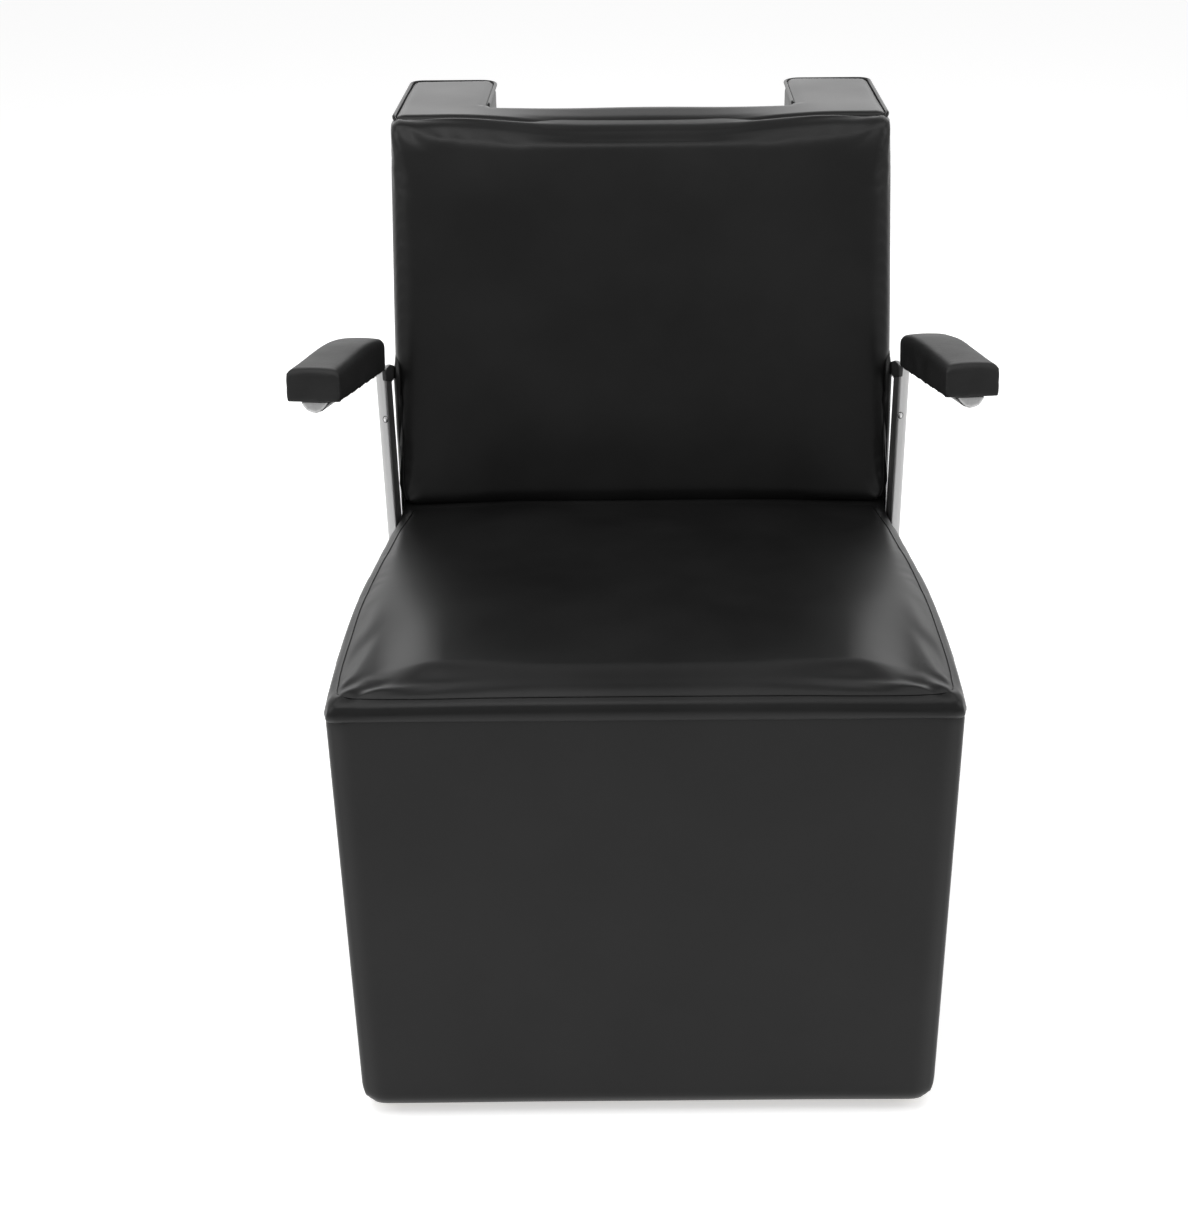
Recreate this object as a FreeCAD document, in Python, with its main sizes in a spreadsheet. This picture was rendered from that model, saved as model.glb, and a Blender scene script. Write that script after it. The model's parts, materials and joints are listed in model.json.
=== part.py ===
import FreeCAD, Part
import math
import os
import Sketcher

# A box-based salon dryer chair: upholstered plywood box, crowned seat, reclined back
# whose top carries two rearward wings round a well for the dryer, and two padded arms.
# Lengths are millimetres, angles are degrees.  X is the width, -Y the front, +Z up.
# The origin is the middle of the footprint, on the floor.

SIZES = [
    # whole chair
    ("overall_height", 902.0),
    ("base_width", 608.0),
    ("floor_gap", 12.0),
    # seat
    ("seat_height", 512.0),
    ("seat_depth", 563.0),
    ("seat_pitch", 5.6),
    ("cushion_overhang", 4.0),
    ("cushion_edge", 26.0),
    ("cushion_body", 60.0),
    ("cushion_side_bulge", 11.0),
    ("cushion_corner_tuck", 3.0),
    ("cushion_crown", 9.0),
    ("least_crown", 0.5),
    ("cushion_roll_width", 52.0),
    ("cushion_roll_rise", 4.0),
    ("cushion_nose_radius", 16.0),
    ("seat_clearance", 3.0),
    ("cleat_width", 25.0),
    # back
    ("back_recline", 15.0),
    ("back_cushion_thickness", 50.0),
    ("back_crown", 7.0),
    ("back_roll_radius", 24.0),
    ("back_corner_radius", 15.0),
    ("back_top_thickness", 85.0),
    ("back_top_width", 600.0),
    ("back_low_width", 612.0),
    ("back_seat_gap", 1.7),
    ("rib_clearance", 40.0),
    # wings and well
    ("notch_width", 372.0),
    ("wing_depth", 158.7),
    ("deck_height", 442.0),
    ("wing_inner_radius", 15.0),
    ("wing_outer_radius", 5.0),
    # boards and covers
    ("side_padding", 11.0),
    ("board_thickness", 18.0),
    ("thin_board", 12.0),
    ("cover_thickness", 6.0),
    ("front_pad_thickness", 20.0),
    ("front_pad_edge_radius", 13.0),
    ("front_pad_corner_radius", 18.0),
    ("cover_gap", 0.3),
    ("cut_overrun", 5.0),
    # corner blocks and levelling glides
    ("block_width", 50.0),
    ("block_height", 60.0),
    ("glide_foot_width", 30.0),
    ("glide_stop_gap", 0.3),
    ("glide_travel", 12.0),
    ("stem_diameter", 8.0),
    ("stem_grip", 22.0),
    ("stem_clearance", 0.1),
    # arm pads
    ("arm_front", 324.0),
    ("arm_height", 727.0),
    ("arm_tilt", 11.5),
    ("arm_splay", 4.2),
    ("pad_length", 254.0),
    ("pad_width", 57.0),
    ("pad_thickness", 36.0),
    ("pad_top_radius", 8.0),
    ("pad_rear_outer_radius", 34.0),
    ("pad_rear_inner_radius", 16.0),
    # arm rails, posts and brackets
    ("rail_width", 29.0),
    ("rail_depth", 12.5),
    ("rail_setback", 6.0),
    ("rail_rear_inset", 12.0),
    ("post_thickness", 6.0),
    ("post_depth", 45.0),
    ("post_standoff", 8.0),
    ("post_foot_height", 234.0),
    ("post_setback", 225.0),
    ("post_corner_radius", 6.0),
    ("bracket_thickness", 4.0),
    ("bracket_height", 24.0),
    ("bracket_lap", 30.0),
    ("bracket_eye", 6.5),
    ("bracket_radius", 5.0),
    # arm fasteners
    ("bolt_diameter", 8.0),
    ("bolt_head_width", 13.0),
    ("round_head_diameter", 13.0),
    ("bolt_head_height", 4.0),
    ("bolt_hole_clearance", 0.5),
    ("boss_diameter", 22.0),
    ("side_bolt_inset", 28.0),
    ("side_bolt_pitch", 60.0),
    ("post_bolt_inset", 12.0),
    ("post_bolt_drop", 60.0),
    ("bracket_bolt_inset", 26.0),
    ("pad_screw_diameter", 4.0),
    ("pad_screw_head_width", 8.0),
    ("pad_screw_head_height", 2.0),
    ("pad_screw_depth", 16.0),
    ("pad_screw_inset", 38.0),
    ("bolt_thread_end", 2.0),
    # dryer mount
    ("mount_drop", 190.0),
    ("mount_hole_spacing", 100.0),
    ("mount_hole_diameter", 8.5),
]

# Places that follow from the sizes.  Each may use the sizes and the places above it.
PLACES = [
    ("crease_z", "seat_height - seat_depth * tan(seat_pitch)"),
    ("back_run", "(overall_height - crease_z) * tan(back_recline) + back_top_thickness"),
    ("overall_depth", "cushion_overhang + seat_depth + back_run + wing_depth"),
    ("front_face", "-overall_depth / 2 + cushion_overhang"),
    ("rear_face", "overall_depth / 2"),
    ("board_front", "front_face + front_pad_thickness"),
    ("board_rear", "rear_face - cover_thickness"),
    ("half_width", "base_width / 2"),
    ("board_side", "half_width - side_padding"),
    ("board_inner", "board_side - board_thickness"),
    ("half_notch", "notch_width / 2"),
    ("cheek_outer", "half_notch + cover_thickness"),
    ("cheek_inner", "cheek_outer + thin_board"),
    ("edge_front", "seat_height - cushion_edge"),
    ("crease_y", "front_face + seat_depth"),
    ("frame_y", "crease_y + back_cushion_thickness * cos(back_recline)"),
    ("frame_z", "crease_z - back_cushion_thickness * sin(back_recline)"),
    ("frame_top", "overall_height - cover_thickness"),
    ("frame_top_y", "frame_y + (frame_top - frame_z) * tan(back_recline)"),
    ("frame_deck_y", "frame_y + (deck_height - frame_z) * tan(back_recline)"),
    ("slant_board", "thin_board / cos(back_recline)"),
    ("board_front_z", "edge_front - front_pad_thickness * tan(seat_pitch)"),
    ("knee_drop", "(frame_y - frame_z * tan(back_recline) - front_face) * tan(seat_pitch)"),
    ("knee_z", "(edge_front - knee_drop) / (1 + tan(back_recline) * tan(seat_pitch))"),
    ("knee_y", "frame_y + (knee_z - frame_z) * tan(back_recline)"),
    ("well_face", "crease_y + back_run"),
    ("well_board_rear", "well_face - cover_thickness"),
    ("well_board_front", "well_board_rear - thin_board"),
    ("wing_board_front", "board_rear - thin_board"),
    ("deck_under", "deck_height - board_thickness"),
    ("rib_distance", "mount_hole_spacing + 2 * rib_clearance"),
    ("half_top", "back_top_width / 2"),
    ("side_slope", "(half_width - half_top) / (overall_height - knee_z)"),
    ("side_top_z", "overall_height + cut_overrun"),
    ("side_top_x", "half_top - side_slope * cut_overrun"),
    ("post_inner", "half_width + post_standoff"),
    ("post_outer", "post_inner + post_thickness"),
    ("glide_top", "floor_gap - glide_stop_gap"),
    ("stem_length", "glide_travel + stem_grip"),
    ("pad_origin_y", "front_face + arm_front - pad_thickness * sin(arm_tilt)"),
    ("pad_origin_z", "arm_height - pad_thickness * cos(arm_tilt)"),
    ("rail_end", "pad_length - rail_rear_inset"),
    ("rail_end_shift", "rail_end * cos(arm_tilt) * sin(arm_splay)"),
    ("pad_origin_x", "post_outer + rail_width / 2 * cos(arm_splay) + rail_end_shift"),
    ("post_front", "front_face + arm_front + post_setback"),
    ("post_rear", "post_front + post_depth"),
    ("post_middle", "post_front + post_depth / 2"),
    ("pad_lean_in", "(pad_origin_x - post_inner) * sin(arm_splay)"),
    ("pad_run", "(post_front - pad_origin_y) * cos(arm_splay) + pad_lean_in"),
    ("post_front_top", "pad_origin_z - pad_run * tan(arm_tilt) - cover_gap"),
    ("post_rear_top", "post_front_top - post_depth * tan(arm_tilt)"),
    ("bracket_low", "post_rear_top - bracket_height"),
    ("bracket_bolt_z", "post_rear_top - bracket_height / 2"),
    ("bracket_bolt_y",
     "frame_y + (bracket_bolt_z - frame_z) * tan(back_recline) + bracket_bolt_inset"),
    ("bracket_rear", "bracket_bolt_y + bracket_height / 2"),
    ("bracket_inner", "post_inner - bracket_thickness"),
    ("boss_low", "bracket_bolt_z - boss_diameter / 2"),
    ("boss_inner", "half_width - side_slope * (boss_low - knee_z)"),
    ("post_bolt_y", "post_front + post_bolt_inset"),
    ("post_bolt_z", "post_rear_top - post_bolt_drop"),
    ("side_bolt_low", "post_foot_height + side_bolt_inset"),
    ("side_bolt_high", "side_bolt_low + side_bolt_pitch"),
    ("top_cover_front", "frame_y + (overall_height - frame_z) * tan(back_recline)"),
    ("seat_end", "(knee_y - front_face) / cos(seat_pitch)"),
    ("seat_board_low", "cushion_edge + cushion_body + thin_board"),
    ("inner_front", "(front_pad_thickness + board_thickness) / cos(seat_pitch)"
                    " + (seat_board_low + cleat_width) * tan(seat_pitch) + seat_clearance"),
    ("cushion_low", "cover_gap - cushion_edge * cos(seat_pitch)"),
    ("cushion_front", "-(cushion_overhang + cushion_low * sin(seat_pitch)) / cos(seat_pitch)"),
    ("block_x", "board_inner - block_width / 2"),
    ("block_front_y", "board_front + board_thickness + block_width / 2"),
    ("block_rear_y", "board_rear - board_thickness - block_width / 2"),
    ("rail_radius", "(rail_width * rail_width / 4 + rail_depth * rail_depth) / (2 * rail_depth)"),
    ("pad_screw_front", "rail_setback + pad_screw_inset"),
    ("pad_screw_rear", "rail_end - pad_screw_inset"),
]

doc = FreeCAD.newDocument("dryer_chair")
sheet = doc.addObject("Spreadsheet::Sheet", "Sizes")
for row, (alias, value) in enumerate(SIZES, start=1):
    sheet.set("A%d" % row, alias)
    sheet.set("B%d" % row, repr(value))
    sheet.setAlias("B%d" % row, alias)
doc.recompute()
SIZE_NAMES = [alias for alias, value in SIZES]
PLACE_NAMES = [alias for alias, formula in PLACES]


def bound(formula):
    """Point every size and place named in a formula at its spreadsheet cell."""
    words = []
    word = ""
    for letter in formula + " ":
        if letter.isalnum() or letter == "_":
            word += letter
            continue
        if word in SIZE_NAMES:
            word = "Sizes." + word
        elif word in PLACE_NAMES:
            word = "Places." + word
        words.append(word + letter)
        word = ""
    return "".join(words).strip()


places = doc.addObject("Spreadsheet::Sheet", "Places")
for row, (alias, formula) in enumerate(PLACES, start=1):
    places.set("A%d" % row, alias)
    places.set("B%d" % row, "=" + bound(formula))
    places.setAlias("B%d" % row, alias)
doc.recompute()


def value(formula):
    """The number that a formula of sizes and places gives."""
    result = places.evalExpression(bound(formula))
    return float(getattr(result, "Value", result))


exports = {}


def keep(node, thing):
    """Name a sub-part and put it on the list that is written out."""
    thing.Label = node
    exports[node] = thing
    return thing


def bind(thing, **formulas):
    """Bind properties of an object to formulas of the sheet."""
    for name, formula in formulas.items():
        thing.setExpression(name, bound(formula))


def origin_plane(body, role):
    """One of a body's own origin planes."""
    return [f for f in body.Origin.OriginFeatures if f.Role == role][0]


def outline_sketch(body, name, role, corners):
    """A closed polygon whose corners are formulas, on one of the body's planes."""
    sketch = body.newObject("Sketcher::SketchObject", name)
    sketch.AttachmentSupport = (origin_plane(body, role), [""])
    sketch.MapMode = "FlatFace"
    points = [FreeCAD.Vector(value(u), value(v), 0) for u, v in corners]
    count = len(points)
    for i in range(count):
        sketch.addGeometry(Part.LineSegment(points[i], points[(i + 1) % count]), False)
    for i in range(count):
        sketch.addConstraint(Sketcher.Constraint("Coincident", i, 2, (i + 1) % count, 1))
    for i, (u, v) in enumerate(corners):
        for kind, formula in (("DistanceX", u), ("DistanceY", v)):
            place = Sketcher.Constraint(kind, -1, 1, i, 1, value(formula))
            index = sketch.addConstraint(place)
            sketch.setExpression("Constraints[%d]" % index, bound(formula))
    return sketch


def padded_body(node, role, corners, length, shift=None):
    """A polygon padded along its plane's normal, then moved by shift."""
    body = doc.addObject("PartDesign::Body", node)
    sketch = outline_sketch(body, node + "_outline", role, corners)
    pad = body.newObject("PartDesign::Pad", node + "_pad")
    pad.Profile = sketch
    bind(pad, Length=length)
    if shift:
        for axis, formula in shift.items():
            body.setExpression("Placement.Base." + axis, bound(formula))
    doc.recompute()
    return keep(node, body)


def cut_through(body, name, role, corners):
    """Cut a polygon right through a body, both ways from its plane."""
    sketch = outline_sketch(body, name + "_outline", role, corners)
    pocket = body.newObject("PartDesign::Pocket", name)
    pocket.Profile = sketch
    pocket.Type = "ThroughAll"
    pocket.Midplane = True
    doc.recompute()
    return pocket


def round_edges(body, name, radius, wanted):
    """Fillet the edges of a body's tip that a test picks by middle and direction."""
    tip = body.Tip
    picked = []
    for number, edge in enumerate(tip.Shape.Edges, start=1):
        middle = edge.valueAt((edge.FirstParameter + edge.LastParameter) / 2)
        along = (edge.Vertexes[-1].Point - edge.Vertexes[0].Point)
        if along.Length > 0:
            along.normalize()
        if wanted(middle, along):
            picked.append("Edge%d" % number)
    fillet = body.newObject("PartDesign::Fillet", name)
    fillet.Base = (tip, picked)
    bind(fillet, Radius=radius)
    doc.recompute()
    return fillet


def near(number, target):
    """True when a coordinate lies on a target plane."""
    return abs(number - target) < value("cover_gap")


def upright(along):
    return abs(along.z) > math.cos(math.radians(value("seat_pitch")))


def crosswise(along):
    return abs(along.x) > math.cos(math.radians(value("seat_pitch")))


def turned_body(node, corners):
    """A polygon in the XZ plane turned once round the Z axis."""
    body = doc.addObject("PartDesign::Body", node)
    sketch = outline_sketch(body, node + "_outline", "XZ_Plane", corners)
    turn = body.newObject("PartDesign::Revolution", node + "_turn")
    turn.Profile = sketch
    turn.ReferenceAxis = (sketch, ["V_Axis"])
    doc.recompute()
    return body


def copies(node, shape, placements):
    """Several separate copies of one shape as one node."""
    group = doc.addObject("Part::Feature", node)
    solids = []
    for placement in placements:
        solid = shape.copy()
        solid.Placement = placement.multiply(solid.Placement)
        solids.append(solid)
    group.Shape = Part.Compound(solids)
    return keep(node, group)


def drilled(node, target, holes):
    """A sub-part with straight round holes: each is start, direction, length, diameter."""
    tools = []
    for number, (start, direction, length, diameter) in enumerate(holes):
        drill = doc.addObject("Part::Cylinder", "%s_drill_%d" % (node, number))
        bind(drill, Height=length, Radius="(%s) / 2" % diameter)
        turn = FreeCAD.Rotation(FreeCAD.Vector(0, 0, 1), FreeCAD.Vector(*direction))
        drill.Placement = FreeCAD.Placement(FreeCAD.Vector(*start), turn)
        tools.append(drill)
    result = doc.addObject("Part::Cut", node + "_drilled")
    result.Base = target
    if len(tools) > 1:
        cutter = doc.addObject("Part::MultiFuse", node + "_drills")
        cutter.Shapes = tools
        result.Tool = cutter
    else:
        result.Tool = tools[0]
    doc.recompute()
    return keep(node, result)


# The chair's two sides as the photograph shows them, and the sign of X there.
SIDES = [("left", -1), ("right", 1)]
HEXAGON_SIDES = 6


def side_shift(sign, inner, thickness):
    """The X shift that puts a piece's inner face at +inner or -inner."""
    return {"x": inner if sign > 0 else "-(%s) - (%s)" % (inner, thickness)}


# Plywood box: two sides that run up into the wings, front, rear, and the deck behind
side_outline = [
    ("board_front", "floor_gap"),
    ("board_front", "board_front_z"),
    ("knee_y", "knee_z"),
    ("frame_top_y", "frame_top"),
    ("board_rear", "frame_top"),
    ("board_rear", "floor_gap"),
]
cover_outline = side_outline[:4] + [
    ("rear_face", "frame_top"),
    ("rear_face", "floor_gap"),
]
HOLE = "bolt_diameter + bolt_hole_clearance"


def side_holes(sign):
    """The three bolt holes through a side: two for the post, one for the bracket."""
    start = value("board_inner - cut_overrun") * sign
    spots = [
        ("post_middle", "side_bolt_low"),
        ("post_middle", "side_bolt_high"),
        ("bracket_bolt_y", "bracket_bolt_z"),
    ]
    depth = "half_width - board_inner + 2 * cut_overrun"
    return [((start, value(y), value(z)), (sign, 0, 0), depth, HOLE) for y, z in spots]


def make_side(side, sign):
    """A side board and the padded cover over it, which narrows towards the top."""
    shift = side_shift(sign, "board_inner", "board_thickness")
    node = "side_board_" + side
    board = padded_body(node + "_blank", "YZ_Plane", side_outline, "board_thickness", shift)
    del exports[node + "_blank"]
    drilled(node, board, side_holes(sign))

    node = "side_cover_" + side
    shift = side_shift(sign, "board_side", "side_padding")
    cover = padded_body(node + "_blank", "YZ_Plane", cover_outline, "side_padding", shift)
    del exports[node + "_blank"]
    edge = "side_padding" if sign > 0 else "0"
    beyond = "side_padding + cut_overrun" if sign > 0 else "-cut_overrun"
    top = "side_top_x - board_side" if sign > 0 else "half_width - side_top_x"
    taper = [(edge, "knee_z"), (beyond, "knee_z"), (beyond, "side_top_z"), (top, "side_top_z")]
    cut_through(cover, node + "_taper", "XZ_Plane", taper)
    outer = value(edge)
    rear = value("rear_face")
    round_edges(
        cover, node + "_rear_edge", "wing_outer_radius",
        lambda middle, along: upright(along) and near(middle.y, rear)
        and abs(middle.x - outer) < value("half_width - half_top"))
    drilled(node, cover, side_holes(sign))


for side, sign in SIDES:
    make_side(side, sign)


def cross_board(node, low_y, high_y, low_z, high_z):
    """A board across the box between the side boards."""
    board = doc.addObject("Part::Box", node)
    bind(board, Length="2 * board_inner", Width="(%s) - (%s)" % (high_y, low_y))
    bind(board, Height="(%s) - (%s)" % (high_z, low_z))
    board.setExpression("Placement.Base.x", bound("-board_inner"))
    board.setExpression("Placement.Base.y", bound(low_y))
    board.setExpression("Placement.Base.z", bound(low_z))
    return keep(node, board)


cross_board("front_board", "board_front", "board_front + board_thickness",
            "floor_gap", "board_front_z - board_thickness * tan(seat_pitch)")
cross_board("rear_board", "board_rear - board_thickness", "board_rear",
            "floor_gap", "deck_under")
cross_board("rear_deck", "frame_deck_y", "board_rear", "deck_under", "deck_height")

# Back frame: a reclined board, an upright board behind it, and two wedge ribs between
back_board_outline = [
    ("frame_deck_y", "deck_height"),
    ("frame_deck_y + slant_board", "deck_height"),
    ("frame_top_y + slant_board", "frame_top"),
    ("frame_top_y", "frame_top"),
]
padded_body("back_board", "YZ_Plane", back_board_outline, "2 * board_inner",
            {"x": "-board_inner"})


def mount_holes():
    """The four holes for a dryer's bracket, through the well's cover and panel."""
    start = value("well_board_front - cut_overrun")
    depth = "well_face - well_board_front + 2 * cut_overrun"
    half = value("mount_hole_spacing / 2")
    middle = value("overall_height - mount_drop")
    corners = [(-half, -half), (half, -half), (-half, half), (half, half)]
    return [((x, start, middle + z), (0, 1, 0), depth, "mount_hole_diameter")
            for x, z in corners]


panel = cross_board("well_panel_blank", "well_board_front", "well_board_rear",
                    "deck_height", "frame_top")
del exports["well_panel_blank"]
drilled("well_panel", panel, mount_holes())

rib_outline = [
    ("frame_deck_y + slant_board", "deck_height"),
    ("well_board_front", "deck_height"),
    ("well_board_front", "frame_top"),
    ("frame_top_y + slant_board", "frame_top"),
]
rib = padded_body("rib_blank", "YZ_Plane", rib_outline, "board_thickness")
del exports["rib_blank"]
copies("back_ribs", rib.Shape, [
    FreeCAD.Placement(FreeCAD.Vector(value(x), 0, 0), FreeCAD.Rotation())
    for x in ("-rib_distance / 2 - board_thickness", "rib_distance / 2")])

# Wings: a cheek, a rear board and a cap on each side of the well


def placed_box(node, low, size):
    """A box from the formulas of its low corner and its size."""
    box = doc.addObject("Part::Box", node)
    bind(box, Length=size[0], Width=size[1], Height=size[2])
    for axis, formula in zip("xyz", low):
        box.setExpression("Placement.Base." + axis, bound(formula))
    return keep(node, box)


def make_wing(side, sign):
    """The boards and the L-shaped cover of one wing."""
    rise = "frame_top - deck_height"
    wall = side_shift(sign, "cheek_outer", "thin_board")["x"]
    depth = "wing_board_front - well_board_rear"
    placed_box("wing_cheek_" + side, (wall, "well_board_rear", "deck_height"),
               ("thin_board", depth, rise))
    across = "board_inner - cheek_outer"
    start = side_shift(sign, "cheek_outer", across)["x"]
    placed_box("wing_rear_board_" + side, (start, "wing_board_front", "deck_height"),
               (across, "thin_board", rise))
    across = "board_inner - cheek_inner"
    start = side_shift(sign, "cheek_inner", across)["x"]
    placed_box("wing_cap_" + side, (start, "well_board_rear", "frame_top - thin_board"),
               (across, depth, "thin_board"))

    node = "wing_cover_" + side
    mirror = "" if sign > 0 else "-"
    corners = [
        (mirror + "half_notch", "well_face"),
        (mirror + "cheek_outer", "well_face"),
        (mirror + "cheek_outer", "board_rear"),
        (mirror + "board_side", "board_rear"),
        (mirror + "board_side", "rear_face"),
        (mirror + "half_notch", "rear_face"),
    ]
    cover = padded_body(node, "XY_Plane", corners, rise, {"z": "deck_height"})
    notch = value("half_notch") * sign
    rear = value("rear_face")
    round_edges(cover, node + "_corner", "wing_inner_radius",
                lambda middle, along: upright(along) and near(middle.x, notch)
                and near(middle.y, rear))


for side, sign in SIDES:
    make_wing(side, sign)

# The upholstered top: one piece round the well, over the wings and the back's head
top_outline = [
    ("-half_top", "top_cover_front"),
    ("half_top", "top_cover_front"),
    ("half_top", "rear_face"),
    ("half_notch", "rear_face"),
    ("half_notch", "well_face"),
    ("-half_notch", "well_face"),
    ("-half_notch", "rear_face"),
    ("-half_top", "rear_face"),
]
top_cover = padded_body("back_top_cover", "XY_Plane", top_outline, "cover_thickness",
                        {"z": "frame_top"})
round_edges(top_cover, "back_top_outer_corners", "wing_outer_radius",
            lambda middle, along: upright(along) and near(middle.y, value("rear_face"))
            and near(abs(middle.x), value("half_top")))
round_edges(top_cover, "back_top_inner_corners", "wing_inner_radius",
            lambda middle, along: upright(along) and near(middle.y, value("rear_face"))
            and near(abs(middle.x), value("half_notch")))

well_cover = placed_box("well_cover_blank", ("-half_notch", "well_board_rear", "deck_height"),
                        ("notch_width", "cover_thickness", "frame_top - deck_height"))
del exports["well_cover_blank"]
drilled("well_cover", well_cover, mount_holes())

rear_cover = placed_box("base_rear_cover", ("-board_side", "board_rear", "floor_gap"),
                        ("2 * board_side", "cover_thickness", "deck_height - floor_gap"))

# The padded front, with rounded upright edges and rounded bottom corners
front_outline = [
    ("-half_width", "floor_gap"),
    ("half_width", "floor_gap"),
    ("half_width", "board_front_z"),
    ("-half_width", "board_front_z"),
]
front_pad = padded_body("front_pad", "XZ_Plane", front_outline, "front_pad_thickness",
                        {"y": "board_front"})
round_edges(front_pad, "front_pad_corners", "front_pad_corner_radius",
            lambda middle, along: abs(along.y) > abs(along.x) + abs(along.z)
            and near(middle.z, value("floor_gap")))
round_edges(front_pad, "front_pad_edge", "front_pad_edge_radius",
            lambda middle, along: near(middle.y, -value("front_pad_thickness"))
            and middle.z < value("edge_front - front_pad_edge_radius"))

# Seat: a crowned cushion on a board, which rests on two cleats along the sides


def seat_place(low):
    """The pitched seat frame: its Y runs along the seat and its Z out of it."""
    turn = FreeCAD.Rotation(FreeCAD.Vector(1, 0, 0), -value("seat_pitch"))
    front = FreeCAD.Vector(0, value("front_face"), value("seat_height"))
    return FreeCAD.Placement(front, turn).multiply(
        FreeCAD.Placement(FreeCAD.Vector(*low), FreeCAD.Rotation()))


def pitched_box(node, low, size):
    """A box in the pitched seat frame."""
    box = doc.addObject("Part::Box", node)
    bind(box, Length=size[0], Width=size[1], Height=size[2])
    box.Placement = seat_place([value(part) for part in low])
    return keep(node, box)


pitched_box(
    "seat_board",
    ("-board_inner + seat_clearance", "inner_front", "-seat_board_low"),
    ("2 * (board_inner - seat_clearance)", "seat_end - inner_front - seat_clearance",
     "thin_board"))
cleat = doc.addObject("Part::Box", "cleat_blank")
bind(cleat, Length="cleat_width", Width="seat_end - inner_front - seat_clearance",
     Height="cleat_width")
doc.recompute()
cleat_low = value("-seat_board_low - cleat_width")
cleat_front = value("inner_front")
copies("seat_cleats", cleat.Shape, [
    seat_place((value("board_inner - cleat_width"), cleat_front, cleat_low)),
    seat_place((value("-board_inner"), cleat_front, cleat_low))])


def arc(start, middle, end):
    """An arc's edge through three points."""
    points = [FreeCAD.Vector(*point) for point in (start, middle, end)]
    return Part.Arc(*points).toShape()


def line(start, end):
    """A straight edge between two points."""
    return Part.LineSegment(FreeCAD.Vector(*start), FreeCAD.Vector(*end)).toShape()


# Where the bulge of a cushion's side and the crest of its roll lie between their ends.
SIDE_BULGE_SHARE = 0.45
ROLL_CREST_SHARE = 0.4
# Where the cushions are cut across, from the nose to the rear and from the foot to the roll.
SEAT_STATION_SHARES = (0.1, 0.3, 0.5, 0.7, 0.9, 1)
BACK_STATION_SHARES = (0.2, 0.4, 0.6, 0.8, 1)


def seat_section(along, half, crest, rise_inside):
    """The seat cushion cut across: flat below, a roll at each side, crowned between."""
    low = value("cushion_low")
    roll = value("cushion_roll_width")
    tuck = value("cushion_corner_tuck")
    rise = value("cushion_roll_rise")
    top = crest - rise
    shoulder = low + (top - low) * SIDE_BULGE_SHARE
    crown = half - roll * ROLL_CREST_SHARE
    edges = [
        line((-half, along, low), (half, along, low)),
        arc((half, along, low), (half + tuck, along, shoulder), (half - tuck, along, top - tuck)),
        arc((half - tuck, along, top - tuck), (crown, along, crest), (half - roll, along, top)),
        arc((half - roll, along, top), (0, along, top + rise_inside), (roll - half, along, top)),
        arc((roll - half, along, top), (-crown, along, crest), (tuck - half, along, top - tuck)),
        arc((tuck - half, along, top - tuck), (-half - tuck, along, shoulder),
            (-half, along, low)),
    ]
    return Part.Wire(edges)


sections = []
nose = value("cushion_nose_radius")
front = value("cushion_front")
end = value("seat_end")
for degrees in (0, 45, 90):
    angle = math.radians(degrees)
    tuck = nose * (1 - math.sin(angle))
    sections.append(seat_section(
        front + nose * (1 - math.cos(angle)), value("half_width") - tuck, -tuck,
        value("least_crown")))
for share in SEAT_STATION_SHARES:
    swell = math.sin(math.pi * share)
    sections.append(seat_section(
        front + nose + (end - front - nose) * share,
        value("half_width") + value("cushion_side_bulge") * swell, 0,
        value("least_crown") + value("cushion_crown") * math.sqrt(max(0, swell))
        + value("cushion_roll_rise") * share))
crown = doc.addObject("Part::Feature", "seat_cushion_crown")
crown.Shape = Part.makeLoft(sections, True, True)
filling = doc.addObject("Part::Box", "seat_cushion_filling")
bind(filling, Length="2 * (board_inner - seat_clearance)",
     Width="seat_end - inner_front - seat_clearance",
     Height="cushion_body + cushion_edge + cushion_low")
filling.Placement.Base = FreeCAD.Vector(
    value("seat_clearance - board_inner"), value("inner_front"),
    value("-cushion_edge - cushion_body"))
cushion = doc.addObject("Part::Fuse", "seat_cushion_solid")
cushion.Base = crown
cushion.Tool = filling
cushion.Placement = seat_place((0, 0, 0))
keep("seat_cushion", cushion)

# Back cushion: level sections that follow the recline, crowned and rolled over at the top


def back_section(height, inset, half, crown_depth):
    """The back cushion cut level: straight behind, round front corners, crowned front."""
    lean = math.tan(math.radians(value("back_recline")))
    rear = value("frame_y - cover_gap") + (height - value("frame_z")) * lean
    front = value("crease_y") + (height - value("crease_z")) * lean + inset
    corner = min(value("back_corner_radius"), (rear - front) / 2)
    cut = corner * (1 - math.sqrt(0.5))
    flank = front + corner
    edges = [
        line((-half, rear, height), (half, rear, height)),
        line((half, rear, height), (half, flank, height)),
        arc((half, flank, height), (half - cut, front + cut, height),
            (half - corner, front, height)),
        arc((half - corner, front, height), (0, front - crown_depth, height),
            (corner - half, front, height)),
        arc((corner - half, front, height), (cut - half, front + cut, height),
            (-half, flank, height)),
        line((-half, flank, height), (-half, rear, height)),
    ]
    return Part.Wire(edges)


def back_half(height):
    """Half the back's width, which narrows evenly towards the top."""
    low, high = value("crease_z"), value("overall_height")
    share = (height - low) / (high - low)
    return value("back_low_width") / 2 * (1 - share) + value("half_top") * share


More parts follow.
